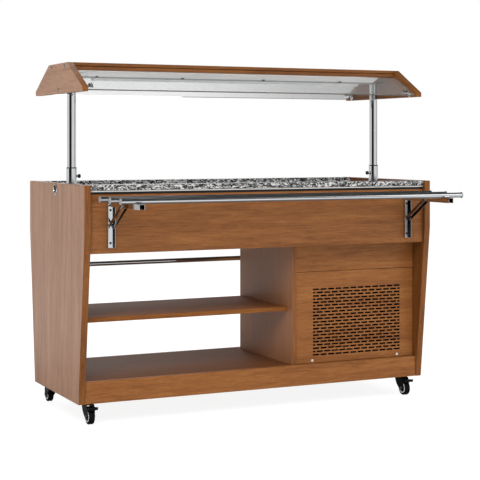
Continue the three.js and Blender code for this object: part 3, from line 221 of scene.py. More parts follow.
class Look:
    """A procedural material: one Principled shader, fed by the nodes that the methods add."""

    def __init__(self, name, roughness, metallic=0.0, **sockets):
        self.material = bpy.data.materials.new(name)
        self.material.use_nodes = True
        self.tree = self.material.node_tree
        self.shader = self.tree.nodes["Principled BSDF"]
        sockets.update(Metallic=metallic, Roughness=roughness)
        for key, value in sockets.items():
            self.shader.inputs[key.replace("_", " ")].default_value = value
        texture = self.node("TexCoord")
        self.place = texture.outputs["Object"]
        self.facing = texture.outputs["Normal"]
        self.flat = self.node("NewGeometry").outputs["True Normal"]
        self.relief = None
        self.base = None

    def node(self, kind, **inputs):
        made = self.tree.nodes.new("ShaderNode" + kind)
        for key, value in inputs.items():
            feed(self.tree, made.inputs[key], value)
        return made

    def stretched(self, axis, scale):
        """Object coordinates scaled along one axis, moved on each object so that no two match."""
        random = self.node("ObjectInfo").outputs["Random"]
        moved = operated(self.tree, "VectorMath", "MULTIPLY_ADD", random, OBJECT_SHIFT, self.place)
        scales = [1.0, 1.0, 1.0]
        scales[axis] = scale
        return self.node("Mapping", Vector=moved.outputs[0], Scale=scales).outputs[0]

    def noise(self, scale, detail=4.0, roughness=0.55, distortion=0.0, vector=None):
        return self.node("TexNoise", Vector=vector or self.place, Scale=scale, Detail=detail,
                         Roughness=roughness, Distortion=distortion).outputs["Fac"]

    def cells(self, scale, vector):
        """A random value for each cell of a Voronoi pattern."""
        colour = self.node("TexVoronoi", Vector=vector, Scale=scale).outputs["Color"]
        return self.node("SeparateColor", Color=colour).outputs[0]

    def ramp(self, value, *stops):
        made = self.node("ValToRGB", Fac=value)
        elements = made.color_ramp.elements
        while len(elements) < len(stops):
            elements.new(1.0)
        for element, (position, colour) in zip(elements, stops):
            element.position = position
            element.color = colour if hasattr(colour, "__len__") else (colour, colour, colour, 1)
        return made.outputs["Color"]

    def span(self, value, low, high, start=0.0, end=1.0):
        """value between start and end, mapped to low to high."""
        return blended(self.tree, value, low, high, start, end)

    def maths(self, operation, *values):
        return operated(self.tree, "Math", operation, *values).outputs[0]

    def mix(self, factor, first, second, blend="MIX"):
        made = self.node("Mix")
        made.data_type = "RGBA"
        made.blend_type = blend
        factor_input, first_colour, second_colour = 0, 6, 7
        for index, value in ((factor_input, factor), (first_colour, first), (second_colour, second)):
            feed(self.tree, made.inputs[index], value)
        return made.outputs[2]

    def axis(self, vector, index):
        return self.node("SeparateXYZ", Vector=vector).outputs[index]

    def worn(self, radius):
        """0 on flat ground, rising to 1 on edges sharper than the radius."""
        rounded = self.node("Bevel", Radius=radius)
        rounded.samples = 4
        shading = self.node("NewGeometry").outputs["Normal"]
        product = operated(self.tree, "VectorMath", "DOT_PRODUCT", rounded.outputs[0], shading)
        return self.span(product.outputs["Value"], 1.0, 0.0, 0.75, 0.99)

    def colour(self, value):
        self.base = value
        feed(self.tree, self.shader.inputs["Base Color"], value)
        return self

    def tone(self, mask, shade, share=1.0):
        """Mixes the colour towards a shade by a share where mask is 1."""
        if share < 1:
            mask = self.maths("MULTIPLY", mask, share)
        return self.colour(self.mix(mask, self.base, rgb(*shade)))

    def clouded(self, clouds, share, first, second):
        """The first colour, with up to a share of the second where the clouds are dense."""
        dense = self.span(clouds, 0.0, share, *CLOUD_RANGE)
        return self.colour(self.mix(dense, rgb(*first), rgb(*second)))

    def away(self, axis, middle):
        """How far a point lies from a plane at middle, square to an axis."""
        return self.maths("ABSOLUTE", self.maths("SUBTRACT", self.axis(self.place, axis), middle))

    def beyond(self, axis, distance):
        """1 further than a distance from the cabinet's middle along an axis, 0 within it."""
        middle = MIDDLE_Y if axis == 1 else 0.0
        return self.maths("GREATER_THAN", self.away(axis, middle), distance)

    def square(self, axis, low=0.6, high=0.95):
        """1 on faces square to an axis, 0 on faces along it."""
        return self.span(self.maths("ABSOLUTE", self.axis(self.flat, axis)), 0.0, 1.0, low, high)

    def rough(self, value):
        feed(self.tree, self.shader.inputs["Roughness"], value)

    def bump(self, height, distance, strength):
        made = self.node("Bump", Height=height, Distance=distance, Strength=strength)
        if self.relief:
            feed(self.tree, made.inputs["Normal"], self.relief)
        self.relief = made.outputs[0]
        feed(self.tree, self.shader.inputs["Normal"], self.relief)


OBJECT_SHIFT = (7.0, 5.0, 3.0)
CLOUD_RANGE = (0.35, 0.7)  # the noise values at which a cloud begins and is dense


def wood(name, grain, shades, sheen=0.3, gloss=0.46):
    """Stained veneer with its grain along one axis (0, 1 or 2), from dark, middle and light shades."""
    look = Look(name, gloss, Specular_IOR_Level=sheen)
    along = look.stretched(grain, 0.07)
    broad = look.noise(30, detail=3, distortion=0.6, vector=along)
    streaks = look.noise(170, detail=4, roughness=0.65, distortion=0.25, vector=along)
    fibre = look.noise(620, detail=3, roughness=0.7, vector=along)
    look.figure = look.maths("MULTIPLY", broad, 0.35)
    for layer, share in ((streaks, 0.4), (fibre, 0.25)):
        look.figure = look.maths("MULTIPLY_ADD", layer, share, look.figure)
    dark, middle, light = (rgb(*shade) for shade in shades)
    colour = look.ramp(look.figure, (0.34, dark), (0.5, middle), (0.66, light))
    pores = look.ramp(look.noise(1000, detail=1, vector=along), (0.62, 0.0), (0.7, 1.0))
    look.colour(look.mix(look.maths("MULTIPLY", pores, 0.3), colour, dark))
    look.tone(look.worn(0.002), shades[2], 0.2)
    look.rough(look.span(streaks, gloss - 0.06, gloss + 0.08, 0.3, 0.7))
    look.bump(fibre, 0.0001, 0.35)
    look.bump(streaks, 0.0003, 0.25)
    return look


def faced_wood(name, grain, shades, axis, shade, share, **finish):
    """Veneer toned by a share towards a shade on its faces square to an axis: painted light or painted
    shade on those faces.
    """
    look = wood(name, grain, shades, **finish)
    return look.tone(look.square(axis), shade, share)


def with_painted_sheen(look, node):
    """Veneer whose faces at the outer X of a node have a painted pale sheen, a painted reflection,
    over the grain.
    """
    outer = look.beyond(0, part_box(node)[1].x - 0.0004)
    sheen_veil = look.span(look.figure, 0.34, 0.84, 0.38, 0.62)
    # painted sheen: the pinkish veil on the outer faces stands in for reflected light
    return look.tone(look.maths("MULTIPLY", outer, sheen_veil), SHEEN_PINK).material


def slotted_wood(panel):
    """Veneer for a machine panel, whose slots carry painted shade to their eased edges."""
    shade_from = 0.0016  # depth behind the face at which a slot turns dark
    margin = 0.012  # round the slots, where turned faces keep their colour
    low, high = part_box(panel)
    outer = max(abs(corner.y - MIDDLE_Y) for corner in (low, high))
    look = wood(f"wood_{panel}", 0, LIT_PANEL)
    # painted shade: everything a little behind the face, the slot walls, turns near black
    look.colour(look.mix(look.beyond(1, outer - shade_from), rgb(*SLOT_SHADE), look.base))
    turned = look.span(look.maths("ABSOLUTE", look.axis(look.flat, 1)), 1.0, 0.0, 0.9, 0.97)
    for index in (0, 2):
        away = look.away(index, (low[index] + high[index]) / 2)
        within = look.maths("LESS_THAN", away, (high[index] - low[index]) / 2 - margin)
        turned = look.maths("MULTIPLY", turned, within)
    # painted shade also on the slots' turned faces
    return look.tone(turned, SLOT_SHADE).material


def plated(name):
    """Chrome plate with faint smears and fine scratches."""
    gloss, haze = 0.05, 0.06
    look = Look(name, gloss, metallic=1.0)
    smears = look.noise(14.0, detail=4, distortion=1.2)
    scratches = look.noise(900.0, detail=2, vector=look.stretched(0, 0.04))
    look.clouded(smears, 0.12, CHROME_SHADE, [0.8 * part for part in CHROME_SHADE])
    look.rough(look.span(smears, gloss, gloss + haze, 0.35, 0.75))
    look.bump(scratches, 0.00001, 0.3)
    return look


def bracket_chrome(name, width, outside=0.0):
    """Chrome on the folding brackets, with painted shade on the faces that look at a neighbour across
    a gap as wide as this, and a painted darker reflection on the others as outside says."""
    look = plated(name)
    across = look.maths("SUBTRACT", look.maths("ABSOLUTE", look.axis(look.place, 0)), BRACKET_X)
    within = look.maths("LESS_THAN", look.maths("ABSOLUTE", across), width / 2)
    faces = look.square(0, 0.7, 0.9)
    # painted reflection: the faces square to X toned darker
    if outside:
        look.tone(faces, (74, 66, 60), outside)
    # painted shade on the faces that look at each other across the gap
    return look.tone(look.maths("MULTIPLY", within, faces), (30, 30, 32), 0.97).material


def rail_chrome():
    """Chrome whose upper side is rougher and toned dark grey, a painted reflection."""
    look = plated("rail_chrome")
    upper = look.span(look.axis(look.facing, 2), 0.0, 1.0, 0.3, 0.5)
    look.rough(look.span(upper, 0.06, 0.34))
    # painted reflection: the upper side toned dark grey
    return look.tone(upper, (124, 125, 127)).material


def granite():
    """Polished speckled granite: grains of black, grey and white at two sizes, with painted shade on
    its level faces.
    """
    wander = 0.006
    look = Look("granite", 0.12, Specular_IOR_Level=0.5)
    drift = look.node("TexNoise", Vector=look.place, Scale=160.0, Detail=2.0).outputs["Color"]
    moved = operated(look.tree, "VectorMath", "MULTIPLY_ADD", drift, [wander] * 3, look.place)
    bent = look.node("Mapping", Vector=moved.outputs[0], Scale=(0.45, 1.0, 1.0)).outputs[0]
    stops = ((0.0, rgb(12, 12, 14)), (0.4, rgb(22, 22, 24)), (0.47, rgb(84, 83, 82)),
             (0.6, rgb(136, 135, 134)), (0.7, rgb(210, 209, 207)), (1.0, rgb(236, 235, 233)))
    small_grains = look.cells(330.0, bent)
    coarse = look.ramp(look.cells(120.0, bent), *stops)
    fine = look.ramp(small_grains, *stops)
    patches = look.ramp(look.noise(70.0, detail=3), (0.42, 0.0), (0.56, 1.0))
    look.colour(look.mix(patches, coarse, fine))
    # painted shade: the level faces toned darker
    look.tone(look.square(2), (34, 33, 32), 0.78)
    look.rough(look.span(look.noise(40.0, detail=3), 0.09, 0.17))
    look.bump(small_grains, 0.00003, 0.3)
    return look.material


def brushed(name, colour, direction, roughness=0.28):
    """Sheet metal with its brushing along one axis."""
    look = Look(name, roughness, metallic=1.0)
    lines = look.noise(1400.0, detail=3, roughness=0.6, vector=look.stretched(direction, 0.012))
    shade = look.span(lines, 0.86, 1.06, 0.3, 0.7)
    tint = look.node("CombineColor", Red=shade, Green=shade, Blue=shade).outputs[0]
    look.colour(look.mix(1.0, rgb(*colour), tint, "MULTIPLY"))
    fine = look.span(lines, roughness - 0.05, roughness + 0.1, 0.3, 0.7)
    look.rough(look.maths("MULTIPLY_ADD", look.noise(9.0), 0.12, fine))
    look.bump(lines, 0.00002, 0.4)
    return look.material


def painted(name, colour, roughness, grain=420.0, depth=0.00006, wear=None, sheen=0.5, glow=0.0):
    """Paint or moulded plastic with a fine skin, faint lighter clouds and worn edges."""
    # glow, where given, is painted light: the part shines though it is no lamp
    look = Look(name, roughness, Specular_IOR_Level=sheen, Emission_Strength=glow,
                Emission_Color=WHITE)
    clouds = look.noise(16.0)
    look.clouded(clouds, 0.35, colour, [min(255, 1.12 * part + 4) for part in colour])
    if wear:
        edges = look.maths("MULTIPLY", look.worn(0.0015), look.span(clouds, 0.1, 0.7, 0.4, 0.65))
        look.tone(edges, wear)
    look.rough(look.span(clouds, roughness - 0.06, roughness + 0.08, *CLOUD_RANGE))
    look.bump(look.noise(grain, detail=3), depth, 0.35)
    return look.material


def trimmed():
    """The top frame: a pale strip with a painted shadow line above it, and painted shade in charcoal
    on the recess below.
    """
    look = Look("top_frame", 0.45)
    height = look.axis(look.place, 2)
    neck_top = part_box("apron_front")[1].z + 0.0094
    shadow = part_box("granite_ledge_front")[0].z - 0.0018
    look.clouded(look.noise(22.0), 0.3, (212, 211, 209), (184, 182, 179))
    # painted shade: the recessed neck coloured charcoal
    look.tone(look.maths("LESS_THAN", height, neck_top), (26, 25, 26))
    # painted shadow: a grey line under the granite's overhang
    look.tone(look.maths("GREATER_THAN", height, shadow), (96, 95, 94))
    look.bump(look.noise(600.0, detail=2), 0.00004, 0.3)
    return look.material


def clear_glass():
    """Clear glass with a faint film of dust, and ground edges toned warm pale grey, partly their
    frosting and partly a painted reflection.
    """
    look = Look("glass", 0.0, Transmission_Weight=0.91, IOR=1.2)
    haze = look.noise(6.0, distortion=0.8)
    look.colour(look.mix(haze, rgb(255, 255, 255), rgb(252, 254, 253)))
    flat = look.maths("ABSOLUTE", look.axis(look.flat, 2))
    # the edges: partly ground frosting, partly a painted reflection of the wood
    look.tone(look.span(flat, 1.0, 0.0, 0.6, 0.8), (196, 182, 172))
    look.rough(look.span(haze, 0.0, 0.01, 0.4, 0.8))
    return look.material


ORANGE = ((101, 55, 19), (137, 84, 40), (162, 106, 55))
# painted light: a lighter copy of the veneer for the low panels that sit in the apron's shade
LIT_PANEL = ((109, 60, 21), (147, 91, 43), (174, 115, 60))
DEEP = ((91, 48, 14), (126, 75, 30), (149, 95, 42))
# painted shade: a darker copy of the veneer for the boards under and inside the cabinet
SHADED_INSIDE = ((72, 48, 32), (96, 66, 46), (114, 82, 58))
# the colour of the painted sheen on outer faces
SHEEN_PINK = (190, 149, 124)
# the colour of the painted shade in the slots
SLOT_SHADE = (12, 10, 9)
CHROME_SHADE = (204, 205, 207)
BRACKET_X = centre_of("slide_channel_front_right").x
FLAT_FINISH = {"sheen": 0.12, "gloss": 0.6}
WOOD_X = wood("wood_along", 0, ORANGE).material
WOOD_LIT_PANEL = wood("wood_lit_panel", 0, LIT_PANEL).material
WOOD_CANOPY = wood("wood_canopy", 0, DEEP).material
WOOD_SHADED_INSIDE = wood("wood_shaded_inside", 0, SHADED_INSIDE).material
WOOD_SLOTTED = {panel: slotted_wood(panel) for panel in ("front_grille_panel", "rear_vent_panel")}
# painted light: the shelf's level faces toned brighter
WOOD_SHELF = faced_wood("wood_shelf", 0, ORANGE, 2, (140, 86, 46), 0.75, **FLAT_FINISH).material
# painted shade: the deck's level faces toned darker
WOOD_DECK = faced_wood("wood_deck", 0, ORANGE, 2, (110, 69, 40), 0.75, **FLAT_FINISH).material
# painted light: the divider's side faces toned lighter
WOOD_DIVIDER = faced_wood("wood_divider", 2, ORANGE, 0, (170, 118, 82), 0.62).material
# painted shade darkens the side faces; the outer ones also carry a painted sheen
WOOD_SIDE = with_painted_sheen(faced_wood("wood_side", 2, DEEP, 0, (64, 32, 8), 0.3), "side_panel_right")
# painted sheen on the canopy ends' outer faces
WOOD_END = with_painted_sheen(wood("wood_canopy_end", 1, DEEP), "canopy_end_right")
GRANITE = granite()
CHROME = plated("chrome").material
CHANNEL_CHROME = bracket_chrome("channel_chrome", 0.0266)
ARM_CHROME = bracket_chrome("arm_chrome", 0.019)
# the straps' faces carry a painted darker reflection
BRACE_CHROME = bracket_chrome("brace_chrome", 0.0246, outside=0.7)
RAIL_CHROME = rail_chrome()
STEEL = brushed("steel", (196, 198, 200), 0)
ZINC = brushed("zinc", (158, 162, 166), 0, roughness=0.34)
ALUMINIUM = brushed("aluminium", (170, 172, 174), 2, roughness=0.4)
TRIM = trimmed()
PALE_GREY = painted("pale_grey", (232, 232, 232), 0.45)
# painted light: a faint glow on the lamp housing, which is no lamp
HOUSING_GLOWING = painted("housing_glowing", (250, 250, 250), 0.5, glow=0.08)
LAMP = painted("lamp", (244, 244, 242), 0.3, grain=900.0, depth=0.00002)
BLACK_PLASTIC = painted("black_plastic", (9, 9, 10), 0.42, wear=(48, 48, 50), sheen=0.3)
BLACK_STEEL = painted("black_steel", (7, 7, 8), 0.4, wear=(56, 56, 58), sheen=0.3)
RUBBER = painted("rubber", (8, 8, 9), 0.7, grain=260.0, depth=0.0002, sheen=0.2)
GREY_PLASTIC = painted("grey_plastic", (142, 143, 145), 0.35)
WHITE_PLASTIC = painted("white_plastic", (236, 236, 234), 0.4)
GLASS = clear_glass()


# ---- dressing the CAD nodes
def smooth(mesh):
    mesh.polygons.foreach_set("use_smooth", [True] * len(mesh.polygons))


def ease(made, width, segments=2):
    """Rounds an object's edges."""
    bevel = made.modifiers.new("edges", "BEVEL")
    bevel.width = width
    bevel.segments = segments
    bevel.limit_method = "ANGLE"
    bevel.angle_limit = EDGE_ANGLE


def dress(name, material, edge=0.0008, segments=2):
    """Gives a CAD node its material, rounded edges and clean shading."""
    node = NODES[name]
    mesh = node.data
    if "custom_normal" in mesh.attributes:
        mesh.attributes.remove(mesh.attributes["custom_normal"])
    smooth(mesh)
    mesh.materials.clear()
    mesh.materials.append(material)
    weld = node.modifiers.new("weld", "WELD")
    weld.merge_threshold = 0.00001
    ease(node, edge, segments)
    shading = node.modifiers.new("shading", "WEIGHTED_NORMAL")
    shading.weight = 90
    shading.keep_sharp = True


for panel, material in WOOD_SLOTTED.items():
    dress(panel, material, edge=0.0011, segments=1)
for end in ENDS:
    dress(f"apron_{end}", WOOD_X)
    dress(f"plinth_{end}", WOOD_LIT_PANEL)
    dress(f"granite_ledge_{end}", GRANITE, edge=0.0015, segments=3)
    dress(f"glass_{end}", GLASS, edge=0.0006)
    for side in SIDES:
        dress(f"slide_channel_{end}_{side}", CHANNEL_CHROME, edge=0.0003)
for side in SIDES:
    dress(f"side_panel_{side}", WOOD_SIDE)
    dress(f"canopy_end_{side}", WOOD_END)
for corner in CORNERS:
    dress(f"caster_fork_{corner}", BLACK_STEEL, edge=0.0006)
    dress(f"brake_pedal_{corner}", BLACK_PLASTIC)
for name, material in (("front_strip_panel", WOOD_LIT_PANEL), ("canopy_top", WOOD_CANOPY),
                       ("middle_shelf", WOOD_SHELF), ("base_deck", WOOD_DECK),
                       ("base_bottom", WOOD_SHADED_INSIDE), ("bay_ceiling", WOOD_SHADED_INSIDE),
                       ("divider", WOOD_DIVIDER), ("cold_well", STEEL), ("canopy_beam", ZINC)):
    dress(name, material)
dress("top_frame", TRIM, edge=0.0006)
dress("lamp_housing", HOUSING_GLOWING, edge=0.001, segments=3)
dress("condenser", ALUMINIUM, edge=0.0005, segments=1)
dress("condenser_fan", BLACK_PLASTIC, edge=0.0003, segments=1)
dress("fan_motor", ZINC, edge=0.0006)


# ---- mesh helpers
def piece(name, parts, material, body, slot, *replaces):
    """A new piece in the row frame, made of bmeshes, that rides on a CAD body."""
    mesh = merged(name, parts)
    mesh.materials.append(material)
    smooth(mesh)
    mesh.set_sharp_from_angle(angle=math.radians(35))
    made = linked(name, mesh)
    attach(made, body)
    if replaces:
        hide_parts(*replaces)
    return made


def lathe(profile, sides, lobes=0, lobe_depth=0.0):
    """A bmesh turned about Z from (radius, height) pairs; a radius of 0 is a point on the axis.
    With lobes, the radius waves in and out round the axis."""
    turned = bmesh.new()
    rings = []
    for radius, height in profile:
        if radius == 0:
            rings.append([turned.verts.new((0, 0, height))])
            continue
        ring = []
        for i in range(sides):
            angle = 2 * math.pi * i / sides
            wave = 1 - lobe_depth * (0.5 + 0.5 * math.cos(lobes * angle)) if lobes else 1
            ring.append(turned.verts.new((radius * wave * math.cos(angle),
                                          radius * wave * math.sin(angle), height)))
        rings.append(ring)
    for low, high in zip(rings, rings[1:]):
        for i in range(sides):
            j = (i + 1) % sides
            corners = [low[i % len(low)], low[j % len(low)], high[j % len(high)], high[i % len(high)]]
            corners = list(dict.fromkeys(corners))
            if len(corners) > 2:
                turned.faces.new(corners)
    bmesh.ops.recalc_face_normals(turned, faces=turned.faces)
    return turned


def solid_ring(profile, sides):
    """A lathe whose profile closes on itself, with a hole along its axis."""
    return lathe(profile + [profile[0]], sides)


def placed(part, place, axis=(0, 0, 1)):
    """Turns a part drawn along Z to lie along axis, and moves it to place."""
    turn = Vector((0, 0, 1)).rotation_difference(Vector(axis)).to_matrix().to_4x4()
    bmesh.ops.transform(part, matrix=Matrix.Translation(place) @ turn, verts=part.verts)
    return part


def merged(name, parts):
    """One mesh from several bmeshes."""
    whole = bmesh.new()
    for part in parts:
        bmesh.ops.remove_doubles(part, verts=part.verts, dist=1e-6)
        scratch = bpy.data.meshes.new("scratch")
        part.to_mesh(scratch)
        part.free()
        whole.from_mesh(scratch)
        bpy.data.meshes.remove(scratch)
    mesh = bpy.data.meshes.new(name)
    whole.to_mesh(mesh)
    whole.free()
    return mesh


def block(low, high, round_edge=0.0):
    """A box between two corners with rounded edges."""
    made = bmesh.new()
    bmesh.ops.create_cube(made, size=1.0)
    low, high = Vector(low), Vector(high)
    size = high - low
    bmesh.ops.transform(made, matrix=Matrix.Translation((low + high) / 2) @ Matrix.Diagonal(
        (size.x, size.y, size.z, 1)), verts=made.verts)
    if round_edge:
        bmesh.ops.bevel(made, geom=list(made.edges), offset=round_edge, segments=2,
                        profile=0.5, affect="EDGES")
    return made


def domed(radius, height):
    """Profile of a low dome that stands on a short straight edge."""
    steps = 5
    straight = 0.3 * height
    points = [(radius, 0.0), (radius, straight)]
    for i in range(1, steps):
        angle = i / steps * math.pi / 2
        points.append((radius * math.cos(angle), straight + (height - straight) * math.sin(angle)))
    return points + [(0, height)]


def cross_screw(radius, height):
    """A low domed head with a cross recess, standing on z = 0."""
    head = lathe([(0, -0.0002)] + domed(radius, height), sides=32)
    slot_width = 0.22 * radius
    slot_reach = 0.62 * radius
    depth = 0.45 * height
    mesh = bpy.data.meshes.new("head")
    head.to_mesh(mesh)
    head.free()
    base = linked("head", mesh)
    bars = merged("bars", [block((-slot_reach, -slot_width, height - depth),
                                 (slot_reach, slot_width, height + 0.001)),
                           block((-slot_width, -slot_reach, height - depth),
                                 (slot_width, slot_reach, height + 0.001))])
    tool = linked("bars", bars)
    cutting = base.modifiers.new("recess", "BOOLEAN")
    cutting.operation = "DIFFERENCE"
    cutting.object = tool
    cutting.solver = "EXACT"
    cutting.use_self = True
    result = bmesh.new()
    result.from_object(base, bpy.context.evaluated_depsgraph_get())
    for made in (base, tool):
        data = made.data
        bpy.data.objects.remove(made)
        bpy.data.meshes.remove(data)
    return result


def extruded(section, x0, x1):
    """A bmesh that runs along X, from the (y, z) points of its section."""
    made = bmesh.new()
    rings = [[made.verts.new((x, y, z)) for y, z in section] for x in (x0, x1)]
    for ring in rings:
        made.faces.new(ring)
    for i in range(len(section)):
        j = (i + 1) % len(section)
        made.faces.new((rings[0][i], rings[0][j], rings[1][j], rings[1][i]))
    bmesh.ops.recalc_face_normals(made, faces=made.faces)
    return made


def copies(template, places):
    """Copies of a part at each (place, axis)."""
    made = [placed(template.copy(), place, axis) for place, axis in places]
    template.free()
    return made


# ---- posts, guides and knobs
def dress_post(side):
    """A canopy post, chamfered at its foot."""
    low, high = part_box(f"post_{side}")
    radius = (high.x - low.x) / 2
    edge = 0.0012
    centre = (centre_of(f"post_{side}").x, MIDDLE_Y, 0)
    tube = lathe([(0, low.z), (radius - edge, low.z), (radius, low.z + edge), (radius, high.z),
                  (0, high.z)], 64)
    piece(f"post_tube_{side}", [placed(tube, centre)], CHROME, "canopy", "chrome", f"post_{side}")


def dress_guide(side):
    """The guide tube with its floor flange, its wiper ring and the boss of the clamp knob."""
    clearance = 0.0003
    low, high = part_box(f"post_guide_{side}")
    x = centre_of(f"post_{side}").x
    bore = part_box(f"post_{side}")[1].x - x + clearance
    radius = 0.020
    flange = 0.027
    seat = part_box("cold_well")[1].z + clearance
    wiper = high.z - 0.0028
    profile = [(bore, low.z), (radius - 0.001, low.z), (radius, low.z + 0.001), (radius, seat),
               (flange - 0.0006, seat), (flange, seat + 0.0006), (flange - 0.0008, seat + 0.0026),
               (flange - 0.002, seat + 0.003), (radius + 0.0015, seat + 0.003),
               (radius + 0.0004, seat + 0.0036), (radius, seat + 0.005), (radius, wiper - 0.001),
               (radius - 0.0008, wiper), (bore, wiper)]
    tube = placed(solid_ring(profile, 64), (x, MIDDLE_Y, 0))
    inward = -SIDES[side]
    boss = lathe([(0, 0.0), (0.005, 0.0), (0.005, 0.0042), (0.0044, 0.005), (0, 0.005)], 32)
    boss_place = (x + inward * (radius - 0.0018), MIDDLE_Y, centre_of(f"clamp_knob_{side}").z)
    boss = placed(boss, boss_place, (inward, 0, 0))
    piece(f"guide_tube_{side}", [tube, boss], CHROME, "cabinet", "chrome", f"post_guide_{side}")
    ring = solid_ring([(bore - 0.0002, wiper), (radius - 0.0004, wiper), (radius, wiper + 0.0005),
                       (radius - 0.0002, high.z - 0.0005), (radius - 0.0012, high.z),
                       (bore - 0.0002, high.z)], 64)
    piece(f"guide_wiper_{side}", [placed(ring, (x, MIDDLE_Y, 0))], RUBBER, "cabinet", "rubber")


def dress_knob(side):
    """A clamp knob's fluted grip on its stem."""
    low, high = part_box(f"clamp_knob_{side}")
    inward = -SIDES[side]
    start = low.x if inward > 0 else high.x
    length = high.x - low.x
    radius = (high.z - low.z) / 2
    stem = 0.47 * radius
    neck = 0.23 * length
    grip = lathe([(0, neck), (0.7 * radius, neck), (0.94 * radius, neck + 0.0008),
                  (radius, neck + 0.002), (radius, length - 0.0028), (0.92 * radius, length - 0.001),
                  (0.72 * radius, length - 0.0002), (0.6 * radius, length - 0.0005),
                  (0, length - 0.0005)], 60, lobes=10, lobe_depth=0.08)
    shank = lathe([(0, 0), (stem, 0), (stem, neck + 0.0005), (0, neck + 0.0005)], 24)
    place = (start, MIDDLE_Y, (low.z + high.z) / 2)
    node = f"clamp_knob_{side}"
    piece(f"knob_grip_{side}", [placed(grip, place, (inward, 0, 0))], BLACK_PLASTIC, node,
          "black_plastic", node)
    piece(f"knob_stem_{side}", [placed(shank, place, (inward, 0, 0))], ZINC, node, "zinc")


for side in SIDES:
    dress_post(side)
    dress_guide(side)
    dress_knob(side)


# ---- finger cups
def dress_cup(side):
    """A chromed cup with a raised rim, and a black lining inside it that paints the shade in the cup.
    """
    sign = SIDES[side]
    low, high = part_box(f"finger_cup_{side}")
    rim = (high.z - low.z) / 2
    inner = rim - 0.0055
    outer = rim - 0.0035
    depth = high.x - low.x
    lip = 0.0022
    face = depth - lip
    profile = [(0, 0.0), (outer - 0.003, 0.0), (outer, 0.003), (outer, face), (rim - 0.0004, face),
               (rim, face + 0.0005), (rim - 0.0008, face + 0.0014), (rim - 0.002, depth),
               (inner + 0.0012, depth - 0.0002), (inner, face)]
    for i in range(1, 7):
        angle = i / 6 * math.pi / 2
        profile.append((inner - 0.005 + 0.005 * math.cos(angle), 0.007 - 0.005 * math.sin(angle)))
    profile.append((0, 0.002))
    place = centre_of(f"finger_cup_{side}")
    place.x = low.x if sign > 0 else high.x
    cup = placed(lathe(profile, 64), place, (sign, 0, 0))
    piece(f"cup_{side}", [cup], CHROME, "cabinet", "chrome", f"finger_cup_{side}")
    wall = inner - 0.0002
    # painted shade: a black lining inside the cup
    shade_lining = lathe([(0, 0.0021), (wall - 0.0046, 0.0021), (wall, 0.0068), (wall, face - 0.001),
                   (wall - 0.0007, face - 0.0006), (wall - 0.0008, 0.0072), (wall - 0.005, 0.003),
                   (0, 0.003)], 64)
    piece(f"cup_liner_{side}", [placed(shade_lining, place, (sign, 0, 0))], BLACK_STEEL,
          "cabinet", "black_steel")


for side in SIDES:
    dress_cup(side)


# ---- folding tray slides
RAIL_RADIUS = 0.010
RAIL_CAP_RADIUS = 0.012
RAIL_CAP = 0.003
RAILS = 3
FIRST_RAIL = 0.0652  # from the pivot to the first rail's axis
RAIL_PITCH = 0.1087
PIVOT_IN = 0.0055  # from the channel's open side to the arm's pivot
PIVOT_DOWN = 0.014  # from the channel's top to the arm's pivot
CHANNEL_SHEET = 0.0018  # the channel's back, with its clearance to the apron
BRACE_DROP = 0.0845  # from the arm's pivot down to the brace's
BRACE_REACH = 0.1385  # from the arm's pivot to the brace's upper end, when open


def pivot_axis(end):
    """A point on the axis of the arms' pivots."""
    low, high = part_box(f"slide_channel_{end}_left")
    open_side = low.y if end == "front" else high.y
    return Vector((0, open_side - ENDS[end] * PIVOT_IN, high.z - PIVOT_DOWN))


PIVOT = {end: pivot_axis(end) for end in ENDS}


def rail_axes(end):
    """Y and Z of each rail's axis, from the box of the frame at rest."""
    sign = ENDS[end]
    low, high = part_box(f"tray_frame_{end}")
    axes = []
    for i in range(RAILS):
        out = FIRST_RAIL + i * RAIL_PITCH
        if end == "front":
            axes.append((PIVOT[end].y + sign * out, high.z - RAIL_CAP_RADIUS))
        else:
            axes.append((high.y - RAIL_CAP_RADIUS, PIVOT[end].z - out))
    return axes


def arms_only(end):
    """The frame's two arms: the CAD mesh without the faces of its rails."""
    arms = bmesh.new()
    arms.from_mesh(NODES[f"tray_frame_{end}"].data)
    bmesh.ops.remove_doubles(arms, verts=arms.verts, dist=1e-5)
    reach = RAIL_CAP_RADIUS + 0.0002

    def on_rail(face):
        return any(all((v.co.y - y) ** 2 + (v.co.z - z) ** 2 < reach ** 2 for v in face.verts)
                   for y, z in rail_axes(end))
    bmesh.ops.delete(arms, geom=[f for f in arms.faces if on_rail(f)], context="FACES")
    return arms


def dress_slide(end):
    """A frame's rails, the caps at their ends and the arms."""
    body = f"tray_slide_{end}"
    low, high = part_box(f"tray_frame_{end}")
    rails, caps = [], []
    for y, z in rail_axes(end):
        length = high.x - low.x - 2 * RAIL_CAP
        tube = lathe([(0, 0), (RAIL_RADIUS, 0), (RAIL_RADIUS, length), (0, length)], 48)
        rails.append(placed(tube, (low.x + RAIL_CAP, y, z), (1, 0, 0)))
        for x, way in ((low.x + RAIL_CAP, -1), (high.x - RAIL_CAP, 1)):
            rim = RAIL_CAP_RADIUS
            cap = lathe([(0, 0), (rim - 0.0004, 0), (rim, 0.0005), (rim, 0.0016),
                         (rim - 0.0008, 0.0026), (rim - 0.0025, RAIL_CAP), (0, RAIL_CAP)], 48)
            caps.append(placed(cap, (x, y, z), (way, 0, 0)))
    piece(f"rails_{end}", rails, RAIL_CHROME, body, "chrome", f"tray_frame_{end}")
    piece(f"rail_caps_{end}", caps, GREY_PLASTIC, body, "chrome")
    arms = piece(f"arms_{end}", [arms_only(end)], ARM_CHROME, body, "chrome")
    ease(arms, 0.0004)


